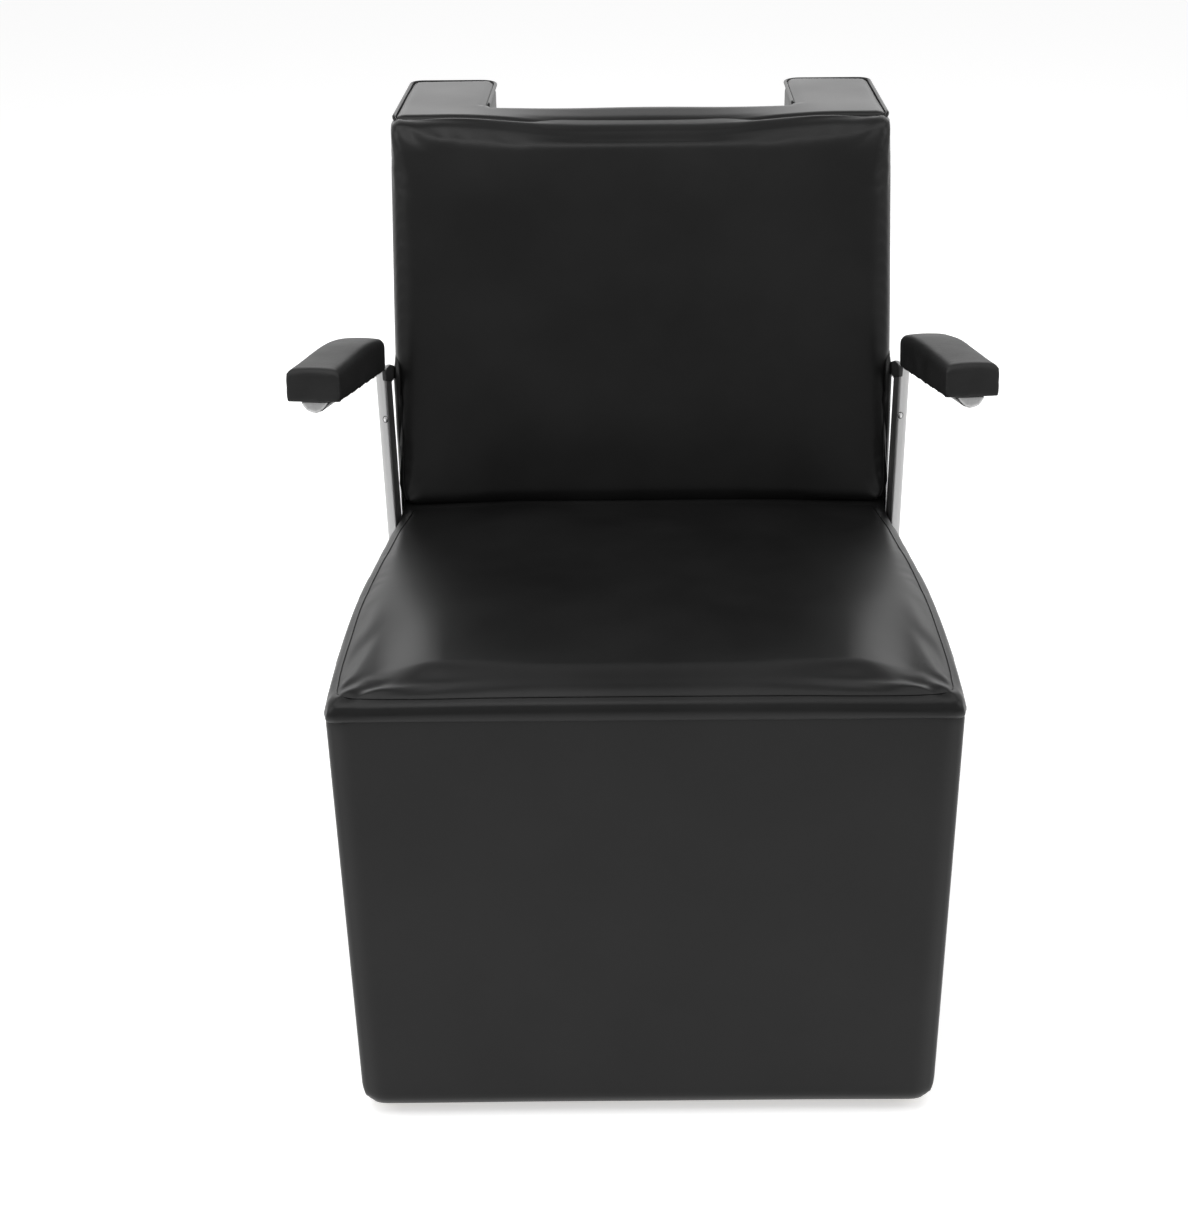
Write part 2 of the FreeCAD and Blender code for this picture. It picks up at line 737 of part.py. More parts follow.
bottom = value("crease_z + back_seat_gap")
top = value("overall_height")
radius = value("back_corner_radius")
roll = value("back_roll_radius")
crown_depth = value("back_crown")
flat = value("least_crown")
sections = []
for degrees in (0, 30, 60, 90):
    angle = math.radians(degrees)
    height = bottom + radius * (1 - math.cos(angle))
    tuck = radius * (1 - math.sin(angle))
    sections.append(back_section(height, tuck, back_half(height) - tuck, flat))
bottom += radius
for share in BACK_STATION_SHARES:
    height = bottom + (top - roll - bottom) * share
    swell = math.sin(math.pi * share) * crown_depth
    sections.append(back_section(height, 0, back_half(height), flat + swell))
for degrees in (15, 30, 45, 60, 75, 90):
    angle = math.radians(degrees)
    height = top - roll + roll * math.sin(angle)
    tuck = roll * (1 - math.cos(angle))
    side = value("wing_outer_radius") * (1 - math.cos(angle))
    sections.append(back_section(height, tuck, back_half(height) - side, flat))
back_cushion = doc.addObject("Part::Feature", "back_cushion")
back_cushion.Shape = Part.makeLoft(sections, True, True)
keep("back_cushion", back_cushion)

# Corner blocks, and a levelling glide with a hexagonal foot screwed into each
CORNERS = [
    ("front_left", "-block_x", "block_front_y"),
    ("front_right", "block_x", "block_front_y"),
    ("rear_left", "-block_x", "block_rear_y"),
    ("rear_right", "block_x", "block_rear_y"),
]
block = doc.addObject("Part::Box", "block_blank")
bind(block, Length="block_width", Width="block_width", Height="block_height")
block.Placement.Base = FreeCAD.Vector(
    value("-block_width / 2"), value("-block_width / 2"), value("floor_gap"))
drilled("block_drilled", block, [
    ((0, 0, value("floor_gap - cut_overrun")), (0, 0, 1), "block_height + 2 * cut_overrun",
     "stem_diameter + 2 * stem_clearance")])
copies("corner_blocks", exports.pop("block_drilled").Shape, [
    FreeCAD.Placement(FreeCAD.Vector(value(x), value(y), 0), FreeCAD.Rotation())
    for name, x, y in CORNERS])


def hexagon_headed(node, width, height, diameter, length):
    """A hexagon, its width across flats, with a round shank that stands on it."""
    head = doc.addObject("Part::Prism", node + "_head")
    head.Polygon = HEXAGON_SIDES
    bind(head, Circumradius="%s / (2 * cos(180 / %d))" % (width, HEXAGON_SIDES), Height=height)
    shank = doc.addObject("Part::Cylinder", node + "_shank")
    bind(shank, Radius="%s / 2" % diameter, Height="%s + %s" % (height, length))
    whole = doc.addObject("Part::Fuse", node + "_solid")
    whole.Base = head
    whole.Tool = shank
    return whole


def make_glide(node, x, y):
    """A hexagonal foot, for a spanner, under a round stem."""
    glide = hexagon_headed(node, "glide_foot_width", "glide_top", "stem_diameter", "stem_length")
    glide.setExpression("Placement.Base.x", bound(x))
    glide.setExpression("Placement.Base.y", bound(y))
    doc.recompute()
    keep(node, glide)


for name, x, y in CORNERS:
    make_glide("glide_" + name, x, y)

# Arms: a urethane pad on a half-round rail, a flat post, and a bracket to the back


def arm_place(sign):
    """The arm pad's frame: origin under the pad's front, Y along it, tilted and splayed."""
    base = FreeCAD.Vector(value("pad_origin_x") * sign, value("pad_origin_y"),
                          value("pad_origin_z"))
    splay = FreeCAD.Rotation(FreeCAD.Vector(0, 0, 1), value("arm_splay") * sign)
    tilt = FreeCAD.Rotation(FreeCAD.Vector(1, 0, 0), -value("arm_tilt"))
    return FreeCAD.Placement(base, splay.multiply(tilt))


def screw_holes(low, depth):
    """The two screw holes along the middle of a pad or its rail."""
    return [((0, value(along), value(low)), (0, 0, 1), depth, "pad_screw_diameter")
            for along in ("pad_screw_front", "pad_screw_rear")]


def make_arm_pad(side, sign):
    """A moulded pad: rounded in plan at the rear, with a soft top edge."""
    node = "arm_pad_" + side
    corners = [
        ("-pad_width / 2", "0"),
        ("pad_width / 2", "0"),
        ("pad_width / 2", "pad_length"),
        ("-pad_width / 2", "pad_length"),
    ]
    pad = padded_body(node + "_blank", "XY_Plane", corners, "pad_thickness")
    del exports[node + "_blank"]
    half = value("pad_width / 2")
    end = value("pad_length")
    round_edges(pad, node + "_rear_outer", "pad_rear_outer_radius",
                lambda middle, along: upright(along) and near(middle.y, end)
                and near(middle.x, half * sign))
    round_edges(pad, node + "_rear_inner", "pad_rear_inner_radius",
                lambda middle, along: upright(along) and near(middle.y, end)
                and near(middle.x, -half * sign))
    round_edges(pad, node + "_top", "pad_top_radius",
                lambda middle, along: near(middle.z, value("pad_thickness")))
    drilled(node, pad, screw_holes("-cut_overrun", "pad_screw_depth + cut_overrun"))
    exports[node].Placement = arm_place(sign)


def make_arm_rail(side, sign):
    """A half-round bar whose flat lies against the pad."""
    node = "arm_rail_" + side
    bar = doc.addObject("Part::Cylinder", node + "_bar")
    bind(bar, Radius="rail_radius", Height="rail_end - rail_setback")
    along = FreeCAD.Rotation(FreeCAD.Vector(0, 0, 1), FreeCAD.Vector(0, 1, 0))
    bar.Placement = FreeCAD.Placement(
        FreeCAD.Vector(0, value("rail_setback"), value("rail_radius - rail_depth")), along)
    room = doc.addObject("Part::Box", node + "_room")
    bind(room, Length="rail_width + 2 * cut_overrun", Width="rail_end + cut_overrun",
         Height="rail_depth + cut_overrun")
    room.Placement.Base = FreeCAD.Vector(
        value("-rail_width / 2 - cut_overrun"), 0, value("-rail_depth - cut_overrun"))
    half = doc.addObject("Part::Common", node + "_half")
    half.Base = bar
    half.Tool = room
    drilled(node, half, screw_holes("-rail_depth - cut_overrun", "rail_depth + 2 * cut_overrun"))
    exports[node].Placement = arm_place(sign)


def across(x, y, z, sign):
    """A point at a distance from the middle on one side, given by formulas."""
    return (value(x) * sign, value(y), value(z))


def with_bosses(node, plate, sign, inner, outer, spots):
    """A plate with round bosses between two distances from the middle."""
    parts = [plate]
    for number, (y, z) in enumerate(spots):
        boss = doc.addObject("Part::Cylinder", "%s_boss_%d" % (node, number))
        bind(boss, Radius="boss_diameter / 2", Height="(%s) - (%s)" % (outer, inner))
        turn = FreeCAD.Rotation(FreeCAD.Vector(0, 0, 1), FreeCAD.Vector(sign, 0, 0))
        boss.Placement = FreeCAD.Placement(FreeCAD.Vector(*across(inner, y, z, sign)), turn)
        parts.append(boss)
    joined = doc.addObject("Part::MultiFuse", node + "_with_bosses")
    joined.Shapes = parts
    doc.recompute()
    return joined


def arm_holes(sign, start, end, spots):
    """Bolt holes along X between two distances from the middle."""
    return [(across(start + " - cut_overrun", y, z, sign), (sign, 0, 0),
             "(%s) - (%s) + 2 * cut_overrun" % (end, start), HOLE) for y, z in spots]


POST_BOLTS = [("post_middle", "side_bolt_low"), ("post_middle", "side_bolt_high")]
EYE_BOLT = [("post_bolt_y", "post_bolt_z")]
BRACKET_BOLT = [("bracket_bolt_y", "bracket_bolt_z")]


def make_arm_post(side, sign):
    """The flat upright bar, which stands off the side on two bosses."""
    node = "arm_post_" + side
    outline = [
        ("post_front", "post_foot_height"),
        ("post_front", "post_front_top"),
        ("post_rear", "post_rear_top"),
        ("post_rear", "post_foot_height"),
    ]
    shift = side_shift(sign, "post_inner", "post_thickness")
    post = padded_body(node + "_blank", "YZ_Plane", outline, "post_thickness", shift)
    del exports[node + "_blank"]
    foot = value("post_foot_height")
    round_edges(post, node + "_foot", "post_corner_radius",
                lambda middle, along: crosswise(along) and near(middle.z, foot))
    joined = with_bosses(node, post, sign, "half_width", "post_inner", POST_BOLTS)
    drilled(node, joined, arm_holes(sign, "half_width", "post_outer", POST_BOLTS + EYE_BOLT))


def make_arm_bracket(side, sign):
    """The black bar from the post's inner face to the side of the back, with its boss."""
    node = "arm_bracket_" + side
    outline = [
        ("post_bolt_y - bracket_eye", "post_bolt_z - bracket_eye"),
        ("post_bolt_y + bracket_eye", "post_bolt_z - bracket_eye"),
        ("post_rear", "bracket_low"),
        ("bracket_rear", "bracket_low"),
        ("bracket_rear", "post_rear_top"),
        ("post_rear - bracket_lap", "post_rear_top"),
        ("post_rear - bracket_lap", "bracket_low"),
        ("post_bolt_y - bracket_eye", "post_bolt_z + bracket_eye"),
    ]
    shift = side_shift(sign, "bracket_inner", "bracket_thickness")
    bracket = padded_body(node + "_blank", "YZ_Plane", outline, "bracket_thickness", shift)
    del exports[node + "_blank"]
    low = value("post_bolt_z - bracket_eye")
    end = value("bracket_rear")
    round_edges(bracket, node + "_ends", "bracket_radius",
                lambda middle, along: crosswise(along)
                and (near(middle.z, low) or near(middle.y, end)))
    joined = with_bosses(node, bracket, sign, "boss_inner", "bracket_inner", BRACKET_BOLT)
    drilled(node, joined,
            arm_holes(sign, "boss_inner", "post_inner", BRACKET_BOLT + EYE_BOLT))


for side, sign in SIDES:
    make_arm_pad(side, sign)
    make_arm_rail(side, sign)
    make_arm_post(side, sign)
    make_arm_bracket(side, sign)

# Arm fasteners


def hexagon_bolt(node, length):
    """A hexagon bolt along Z: the head from zero, then the shank."""
    return hexagon_headed(node, "bolt_head_width", "bolt_head_height", "bolt_diameter", length)


def round_bolt(node, length):
    """A round-headed bolt along Z: the head from zero, then the shank."""
    return turned_body(node, [
        ("0", "0"),
        ("round_head_diameter / 2", "0"),
        ("round_head_diameter / 2", "bolt_head_height"),
        ("bolt_diameter / 2", "bolt_head_height"),
        ("bolt_diameter / 2", "bolt_head_height + " + length),
        ("0", "bolt_head_height + " + length),
    ])


def inward(x, y, z, sign):
    """A placement whose Z points at the middle from one side of the chair."""
    turn = FreeCAD.Rotation(FreeCAD.Vector(0, 0, 1), FreeCAD.Vector(-sign, 0, 0))
    return FreeCAD.Placement(FreeCAD.Vector(*across(x, y, z, sign)), turn)


def bolts(node, make_bolt, inner, outer, spots):
    """The same bolt on both sides, its shank between two distances from the middle."""
    bolt = make_bolt(node + "_blank", "(%s) - (%s)" % (outer, inner))
    doc.recompute()
    copies(node, bolt.Shape, [
        inward(outer + " + bolt_head_height", y, z, sign)
        for side, sign in SIDES for y, z in spots])


bolts("side_bolts", hexagon_bolt, "board_inner", "post_outer", POST_BOLTS)
bolts("bracket_bolts", hexagon_bolt, "board_inner", "post_inner", BRACKET_BOLT)
bolts("post_bolts", round_bolt, "bracket_inner - bolt_thread_end", "post_outer", EYE_BOLT)

pad_screw = hexagon_headed("pad_screw_blank", "pad_screw_head_width", "pad_screw_head_height",
                           "pad_screw_diameter", "rail_depth + pad_screw_depth")
pad_screw.setExpression("Placement.Base.z", bound("-rail_depth - pad_screw_head_height"))
doc.recompute()
copies("pad_screws", pad_screw.Shape, [
    arm_place(sign).multiply(FreeCAD.Placement(
        FreeCAD.Vector(0, value(along), 0), FreeCAD.Rotation()))
    for side, sign in SIDES for along in ("pad_screw_front", "pad_screw_rear")])

doc.recompute()
failed = [thing.Name for thing in doc.Objects
          if "Invalid" in thing.State or "Error" in thing.State]
if failed:
    raise RuntimeError("these objects failed: " + ", ".join(failed))
os.makedirs("parts", exist_ok=True)
for node, thing in exports.items():
    shape = thing.Shape
    if shape.isNull() or not shape.isValid() or not shape.Solids:
        raise RuntimeError(node + " has no valid solid")
for node, thing in exports.items():
    thing.Shape.exportStep("parts/%s.step" % node)
print(len(exports), "sub-parts written")
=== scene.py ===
import bpy
import bmesh
import json
import math
import numpy as np
from mathutils import Matrix, Vector
from mathutils.bvhtree import BVHTree
from mathutils.kdtree import KDTree


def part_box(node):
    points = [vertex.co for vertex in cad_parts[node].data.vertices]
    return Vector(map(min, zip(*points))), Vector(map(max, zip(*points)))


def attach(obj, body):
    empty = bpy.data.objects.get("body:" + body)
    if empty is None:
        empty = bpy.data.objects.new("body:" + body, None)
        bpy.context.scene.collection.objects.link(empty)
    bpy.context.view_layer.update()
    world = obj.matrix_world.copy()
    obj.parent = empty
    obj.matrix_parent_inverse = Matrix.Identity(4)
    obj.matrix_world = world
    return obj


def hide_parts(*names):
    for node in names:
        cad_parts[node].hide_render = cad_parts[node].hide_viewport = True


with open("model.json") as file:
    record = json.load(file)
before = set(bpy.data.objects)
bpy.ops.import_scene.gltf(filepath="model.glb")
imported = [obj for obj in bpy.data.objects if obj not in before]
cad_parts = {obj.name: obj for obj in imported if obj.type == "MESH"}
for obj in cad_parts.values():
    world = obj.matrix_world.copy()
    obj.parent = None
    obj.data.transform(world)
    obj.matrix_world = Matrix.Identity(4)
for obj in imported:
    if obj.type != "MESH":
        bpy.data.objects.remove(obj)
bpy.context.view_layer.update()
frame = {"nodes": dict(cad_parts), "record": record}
SCENE = bpy.context.scene
SCENE.view_settings.view_transform = "Standard"
BODY = "chair"
SIDES = (("left", -1), ("right", 1))
QUARTER_TURN = [math.radians(degrees) for degrees in range(0, 91, 15)]

# Camera at the photograph's place: two metres in front of the seat, looking down
PHOTO_HEIGHT = 1210
FOCAL_PIXELS = 1822
AXIS_RIGHT_PIXELS = 50.5
AXIS_DOWN_PIXELS = 3.5
CAMERA_PLACE = (0, -1.9436, 1.3704)
CAMERA_DOWN_DEGREES = 27.2
CAMERA_ROLL_DEGREES = -0.45
camera_data = bpy.data.cameras.new("camera")
camera_data.sensor_width = 36
camera_data.lens = camera_data.sensor_width * FOCAL_PIXELS / PHOTO_HEIGHT
camera_data.shift_x = -AXIS_RIGHT_PIXELS / PHOTO_HEIGHT
camera_data.shift_y = AXIS_DOWN_PIXELS / PHOTO_HEIGHT
camera_data.clip_end = 200
camera = bpy.data.objects.new("camera", camera_data)
SCENE.collection.objects.link(camera)
camera.location = CAMERA_PLACE
pitch = Matrix.Rotation(math.radians(90 - CAMERA_DOWN_DEGREES), 3, "X")
roll = Matrix.Rotation(math.radians(CAMERA_ROLL_DEGREES), 3, "Z")
camera.rotation_euler = (pitch @ roll).to_euler()
SCENE.camera = camera


# Materials


def material(name):
    """A new node material, its tree, and its shader."""
    mat = bpy.data.materials.new(name)
    mat.use_nodes = True
    shader = mat.node_tree.nodes["Principled BSDF"]
    return mat, mat.node_tree, shader


def node(tree, kind, **inputs):
    """A new node with some of its inputs set."""
    made = tree.nodes.new(kind)
    for key, given in inputs.items():
        made.inputs[key.replace("_", " ")].default_value = given
    return made


def coordinates(tree, scale=(1, 1, 1)):
    """Object coordinates, scaled, as a vector output."""
    place = tree.nodes.new("ShaderNodeTexCoord")
    mapping = tree.nodes.new("ShaderNodeMapping")
    mapping.inputs["Scale"].default_value = scale
    tree.links.new(place.outputs["Object"], mapping.inputs["Vector"])
    return mapping.outputs["Vector"]


def noise(tree, vector, scale, detail=3.0):
    """A noise texture's value output at a scale in features per metre."""
    made = node(tree, "ShaderNodeTexNoise", Scale=scale, Detail=detail)
    tree.links.new(vector, made.inputs["Vector"])
    return made.outputs["Fac"]


def ramp(tree, value, low, high, start=0.3, end=0.7):
    """Two greys or colours blended along a value."""
    made = tree.nodes.new("ShaderNodeValToRGB")
    made.color_ramp.elements[0].position = start
    made.color_ramp.elements[1].position = end
    made.color_ramp.elements[0].color = low
    made.color_ramp.elements[1].color = high
    tree.links.new(value, made.inputs["Fac"])
    return made.outputs["Color"]


def mapped(tree, value, **ends):
    """A value mapped from one range to another, each from 0 to 1 unless told."""
    made = node(tree, "ShaderNodeMapRange", **ends)
    tree.links.new(value, made.inputs["Value"])
    return made.outputs["Result"]


def spread(tree, value, low, high):
    """A value between 0 and 1 mapped to a range."""
    return mapped(tree, value, To_Min=low, To_Max=high)


def combined(tree, operation, first, second):
    """The result of a sum, product or the like of two values."""
    made = tree.nodes.new("ShaderNodeMath")
    made.operation = operation
    tree.links.new(first, made.inputs[0])
    tree.links.new(second, made.inputs[1])
    return made.outputs[0]


def bump(tree, heights, distance, strength, shader):
    """Bump from one or more height outputs, summed."""
    total = heights[0]
    for height in heights[1:]:
        total = combined(tree, "ADD", total, height)
    made = node(tree, "ShaderNodeBump", Strength=strength, Distance=distance)
    tree.links.new(total, made.inputs["Height"])
    tree.links.new(made.outputs["Normal"], shader.inputs["Normal"])


def grey(level):
    """An opaque grey."""
    return (level, level, level, 1)


def pebbles(tree, vector, scale):
    """A smooth cell pattern's height output."""
    cells = node(tree, "ShaderNodeTexVoronoi", Scale=scale)
    cells.feature = "SMOOTH_F1"
    tree.links.new(vector, cells.inputs["Vector"])
    return cells.outputs["Distance"]


def vinyl_material():
    """Black upholstery vinyl: a fine pebble grain, soft gloss, and slight handling marks."""
    mat, tree, shader = material("black_vinyl_grain")
    vector = coordinates(tree)
    pebble = spread(tree, pebbles(tree, vector, 900.0), 0.0, 1.0)
    fine = noise(tree, vector, 1500.0, 2.0)
    broad = noise(tree, vector, 9.0, 3.0)
    bump(tree, [pebble, spread(tree, fine, 0.0, 0.35)], 0.00012, 0.35, shader)
    colour = ramp(tree, broad, grey(0.0048), grey(0.0078))
    tree.links.new(colour, shader.inputs["Base Color"])
    tree.links.new(spread(tree, broad, 0.33, 0.42), shader.inputs["Roughness"])
    shader.inputs["IOR"].default_value = 1.3
    return mat


def urethane_material():
    """Moulded urethane: matt black with a leather-like skin."""
    mat, tree, shader = material("moulded_urethane")
    vector = coordinates(tree)
    skin = pebbles(tree, vector, 330.0)
    broad = noise(tree, vector, 30.0, 4.0)
    bump(tree, [skin, noise(tree, vector, 700.0)], 0.0003, 0.5, shader)
    tree.links.new(ramp(tree, broad, grey(0.0055), grey(0.011)), shader.inputs["Base Color"])
    tree.links.new(spread(tree, broad, 0.46, 0.6), shader.inputs["Roughness"])
    shader.inputs["IOR"].default_value = 1.34
    return mat


def metal_material(name, level, roughness, along=(1, 1, 1)):
    """A metal finish whose fine lines run across the stretched axis."""
    mat, tree, shader = material(name)
    vector = coordinates(tree, along)
    lines = noise(tree, vector, 400.0, 4.0)
    colour = ramp(tree, lines, grey(level * 0.93), grey(min(1, level * 1.05)))
    tree.links.new(colour, shader.inputs["Base Color"])
    tree.links.new(spread(tree, lines, roughness - 0.05, roughness + 0.07),
                   shader.inputs["Roughness"])
    bump(tree, [lines], 0.00004, 0.25, shader)
    shader.inputs["Metallic"].default_value = 1.0
    return mat


def plywood_material():
    """Birch plywood: long grain on the faces and thin plies where the edges show."""
    mat, tree, shader = material("bare_plywood")
    vector = coordinates(tree, (6, 6, 90))
    grain = noise(tree, vector, 2.2, 6.0)
    colour = ramp(tree, grain, (0.42, 0.28, 0.15, 1), (0.62, 0.45, 0.27, 1), 0.35, 0.65)
    tree.links.new(colour, shader.inputs["Base Color"])
    tree.links.new(spread(tree, grain, 0.55, 0.75), shader.inputs["Roughness"])
    bump(tree, [grain], 0.0002, 0.3, shader)
    return mat


def plain_material(name, low, high, roughness):
    """A plain moulded or painted surface with slight variation and a fine texture."""
    mat, tree, shader = material(name)
    vector = coordinates(tree)
    patches = noise(tree, vector, 120.0, 4.0)
    tree.links.new(ramp(tree, patches, low, high), shader.inputs["Base Color"])
    tree.links.new(spread(tree, patches, roughness - 0.05, roughness + 0.08),
                   shader.inputs["Roughness"])
    bump(tree, [noise(tree, vector, 900.0)], 0.0001, 0.3, shader)
    return mat


VINYL = vinyl_material()
URETHANE = urethane_material()
SATIN_STEEL = metal_material("satin_steel", 0.46, 0.34, (1, 1, 0.05))
ZINC = metal_material("zinc_plate", 0.6, 0.3)
BLACK_STEEL = plain_material("black_powder_coat", grey(0.012), grey(0.02), 0.42)
BLACK_BOARD = plain_material("black_painted_board", grey(0.014), grey(0.024), 0.55)
NYLON = plain_material("glide_nylon", grey(0.02), grey(0.032), 0.5)
PLYWOOD = plywood_material()
NODE_MATERIALS = {
    "black_vinyl": VINYL,
    "plywood": PLYWOOD,
    "black_board": BLACK_BOARD,
    "urethane": URETHANE,
    "satin_steel": SATIN_STEEL,
    "black_steel": BLACK_STEEL,
    "zinc_steel": ZINC,
    "glide_nylon": NYLON,
}
slots = {row["node"]: row["material_slot"] for row in frame["record"]["subparts"]}
for name, thing in frame["nodes"].items():
    thing.data.materials.clear()
    thing.data.materials.append(NODE_MATERIALS[slots[name]])


# Making of meshes


def link_mesh(name, data, mat):
    """A new object from mesh data, smooth shaded."""
    made = bpy.data.objects.new(name, data)
    SCENE.collection.objects.link(made)
    data.materials.clear()
    data.materials.append(mat)
    data.polygons.foreach_set("use_smooth", [True] * len(data.polygons))
    data.update()
    return made


def lofted(name, rings):
    """A closed mesh through rings of points, each ring with as many points."""
    count = len(rings[0])
    points = [point for ring in rings for point in ring]
    faces = []
    for i in range(len(rings) - 1):
        for j in range(count):
            k = (j + 1) % count
            faces.append((i * count + j, i * count + k, (i + 1) * count + k, (i + 1) * count + j))
    faces.append(tuple(reversed(range(count))))
    faces.append(tuple(range((len(rings) - 1) * count, len(rings) * count)))
    data = bpy.data.meshes.new(name)
    data.from_pydata(points, [], faces)
    data.validate()
    work = bmesh.new()
    work.from_mesh(data)
    bmesh.ops.recalc_face_normals(work, faces=work.faces)
    work.to_mesh(data)
    work.free()
    return data


def applied(name, data, modify):
    """The mesh that an object has after the modifiers that modify() puts on it."""
    raw = link_mesh(name + "_raw", data, VINYL)
    modify(raw)
    bpy.context.view_layer.update()
    result = bpy.data.meshes.new_from_object(
        raw.evaluated_get(bpy.context.evaluated_depsgraph_get()))
    bpy.data.objects.remove(raw)
    result.name = name
    return result


def remeshed(name, data, voxel, smoothing=0):
    """Even quads of one size all over, with the edges eased by smoothing."""
    def modify(raw):
        remesh = raw.modifiers.new("voxels", "REMESH")
        remesh.mode = "VOXEL"
        remesh.voxel_size = voxel
        if smoothing:
            smooth = raw.modifiers.new("easing", "SMOOTH")
            smooth.iterations = smoothing
            smooth.factor = 0.5
    return applied(name, data, modify)


def subdivided(name, data):
    """The mesh with each face made four, smoothly."""
    def modify(raw):
        made = raw.modifiers.new("finer", "SUBSURF")
        made.levels = 1
        made.render_levels = 1
    return applied(name, data, modify)


def positions(data):
    """A mesh's points as an array."""
    flat = np.empty(len(data.vertices) * 3)
    data.vertices.foreach_get("co", flat)
    return flat.reshape(-1, 3)


def move_to(data, points):
    """Sets a mesh's points."""
    data.vertices.foreach_set("co", points.ravel())
    data.update()


PUFF_FRAMES = 20
PUFF_LIMIT = 0.0035


def puffed(name, data, held, pressure):
    """Cloth under pressure, held where told; no point moves further than PUFF_LIMIT."""
    start = positions(data)
    raw = link_mesh(name + "_cloth", data, VINYL)
    group = raw.vertex_groups.new(name="held")
    for index in np.nonzero(held(start))[0]:
        group.add([int(index)], 1.0, "REPLACE")
    cloth = raw.modifiers.new("cloth", "CLOTH")
    cloth.settings.quality = 6
    cloth.settings.mass = 0.4
    cloth.settings.tension_stiffness = 20
    cloth.settings.compression_stiffness = 12
    cloth.settings.shear_stiffness = 8
    cloth.settings.bending_stiffness = 1.5
    cloth.settings.use_pressure = True
    cloth.settings.uniform_pressure_force = pressure
    cloth.settings.vertex_group_mass = "held"
    cloth.settings.effector_weights.gravity = 0
    cloth.collision_settings.use_collision = False
    cloth.point_cache.frame_start = 1
    cloth.point_cache.frame_end = PUFF_FRAMES
    for number in range(1, PUFF_FRAMES + 1):
        SCENE.frame_set(number)
    shown = raw.evaluated_get(bpy.context.evaluated_depsgraph_get())
    end = positions(shown.data)
    bpy.data.objects.remove(raw)
    SCENE.frame_set(1)
    step = end - start
    reach = np.linalg.norm(step, axis=1, keepdims=True)
    limited = PUFF_LIMIT * np.tanh(reach / PUFF_LIMIT)
    move_to(data, start + step * limited / np.maximum(reach, 1e-9))
    return data


def smoothstep(value, low, high):
    """0 up to low, 1 from high on, and a smooth rise between them."""
    share = np.clip((value - low) / (high - low), 0, 1)
    return share * share * (3 - 2 * share)


def hump(value, centre, width):
    """A smooth bump of height 1 round a centre."""
    return np.exp(-((value - centre) / width) ** 2)


def waves(points, seed, size):
    """Slow, smooth, repeatable unevenness between about -1 and 1."""
    draw = np.random.default_rng(seed)
    total = np.zeros(len(points))
    for _ in range(5):
        way = draw.normal(size=3)
        way /= np.linalg.norm(way)
        length = size * draw.uniform(0.7, 1.6)
        total += np.sin(points @ way * 2 * np.pi / length + draw.uniform(0, 2 * np.pi))
    return total / 3


def sewn(data, guide, depth, width):
    """Draws a seam into a mesh near its guide, and gives the seam's line on the surface."""
    surface = BVHTree.FromPolygons([v.co for v in data.vertices],
                                   [face.vertices for face in data.polygons])
    line = []
    for start, end in zip(guide, guide[1:]):
        start, end = Vector(start), Vector(end)
        steps = max(1, int((end - start).length / 0.004))
        for i in range(steps):
            line.append(surface.find_nearest(start.lerp(end, i / steps))[0])
    line.append(surface.find_nearest(Vector(guide[-1]))[0])
    path = np.array([tuple(point) for point in line])
    for _ in range(3):
        path[1:-1] = (path[:-2] + 2 * path[1:-1] + path[2:]) / 4
    finder = KDTree(len(path))
    for index, point in enumerate(path):
        finder.insert(point, index)
    finder.balance()
    points = positions(data)
    gaps = np.array([finder.find(point)[2] for point in points])
    normals = np.empty(len(points) * 3)
    data.vertices.foreach_get("normal", normals)
    move_to(data, points - normals.reshape(-1, 3) * (depth * hump(gaps, 0, width))[:, None])
    return path


def finish_piece(name, data, body, replaced, mat=VINYL):
    """Puts a modelled piece on its body, in the place of its CAD nodes."""
    made = link_mesh(name, data, mat)
    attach(made, body)
    if replaced:
        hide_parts(*replaced)
    return made


# The seat's own frame: Y runs back along the pitched seat, Z out of it
SEAT_PITCH = math.radians(5.6)
SEAT_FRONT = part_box("seat_cushion")[0][1] + 0.004
BACK_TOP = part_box("back_cushion")[1][2]
TOP_OVER_SEAT = 0.390
SEAT_HEIGHT = BACK_TOP - TOP_OVER_SEAT
SEAT_LENGTH = 0.597
SEAT_THICKNESS = 0.0258
SEAT_HALF_WIDTH = 0.3035
SEAT_BULGE = 0.0098
SEAT_CROWN = 0.0098
SEAT_EDGE_RADIUS = 0.014
CREASE_DISTANCE = 0.563
CUSHION_VOXEL = 0.0055
SEAT_TURN = np.array(Matrix.Rotation(-SEAT_PITCH, 3, "X"))
SEAT_ORIGIN = np.array([0, SEAT_FRONT, SEAT_HEIGHT])


def seat_world(points):
    """Points of the seat's own frame in the chair's frame."""
    return points @ SEAT_TURN.T + SEAT_ORIGIN


def seat_half(along):
    """Half the seat's width at a distance along it: drawn in at the corners."""
    share = np.clip(along / 0.585, 0, 1)
    drawn_in = 0.003 * smoothstep(-along, -0.02, 0.004) + 0.003 * smoothstep(along, 0.49, 0.54)
    fuller_front = 0.0045 * (1 - smoothstep(along, 0.28, 0.5))
    bulge = SEAT_BULGE * np.sin(math.pi * share ** 0.85)
    return SEAT_HALF_WIDTH + fuller_front + bulge - drawn_in


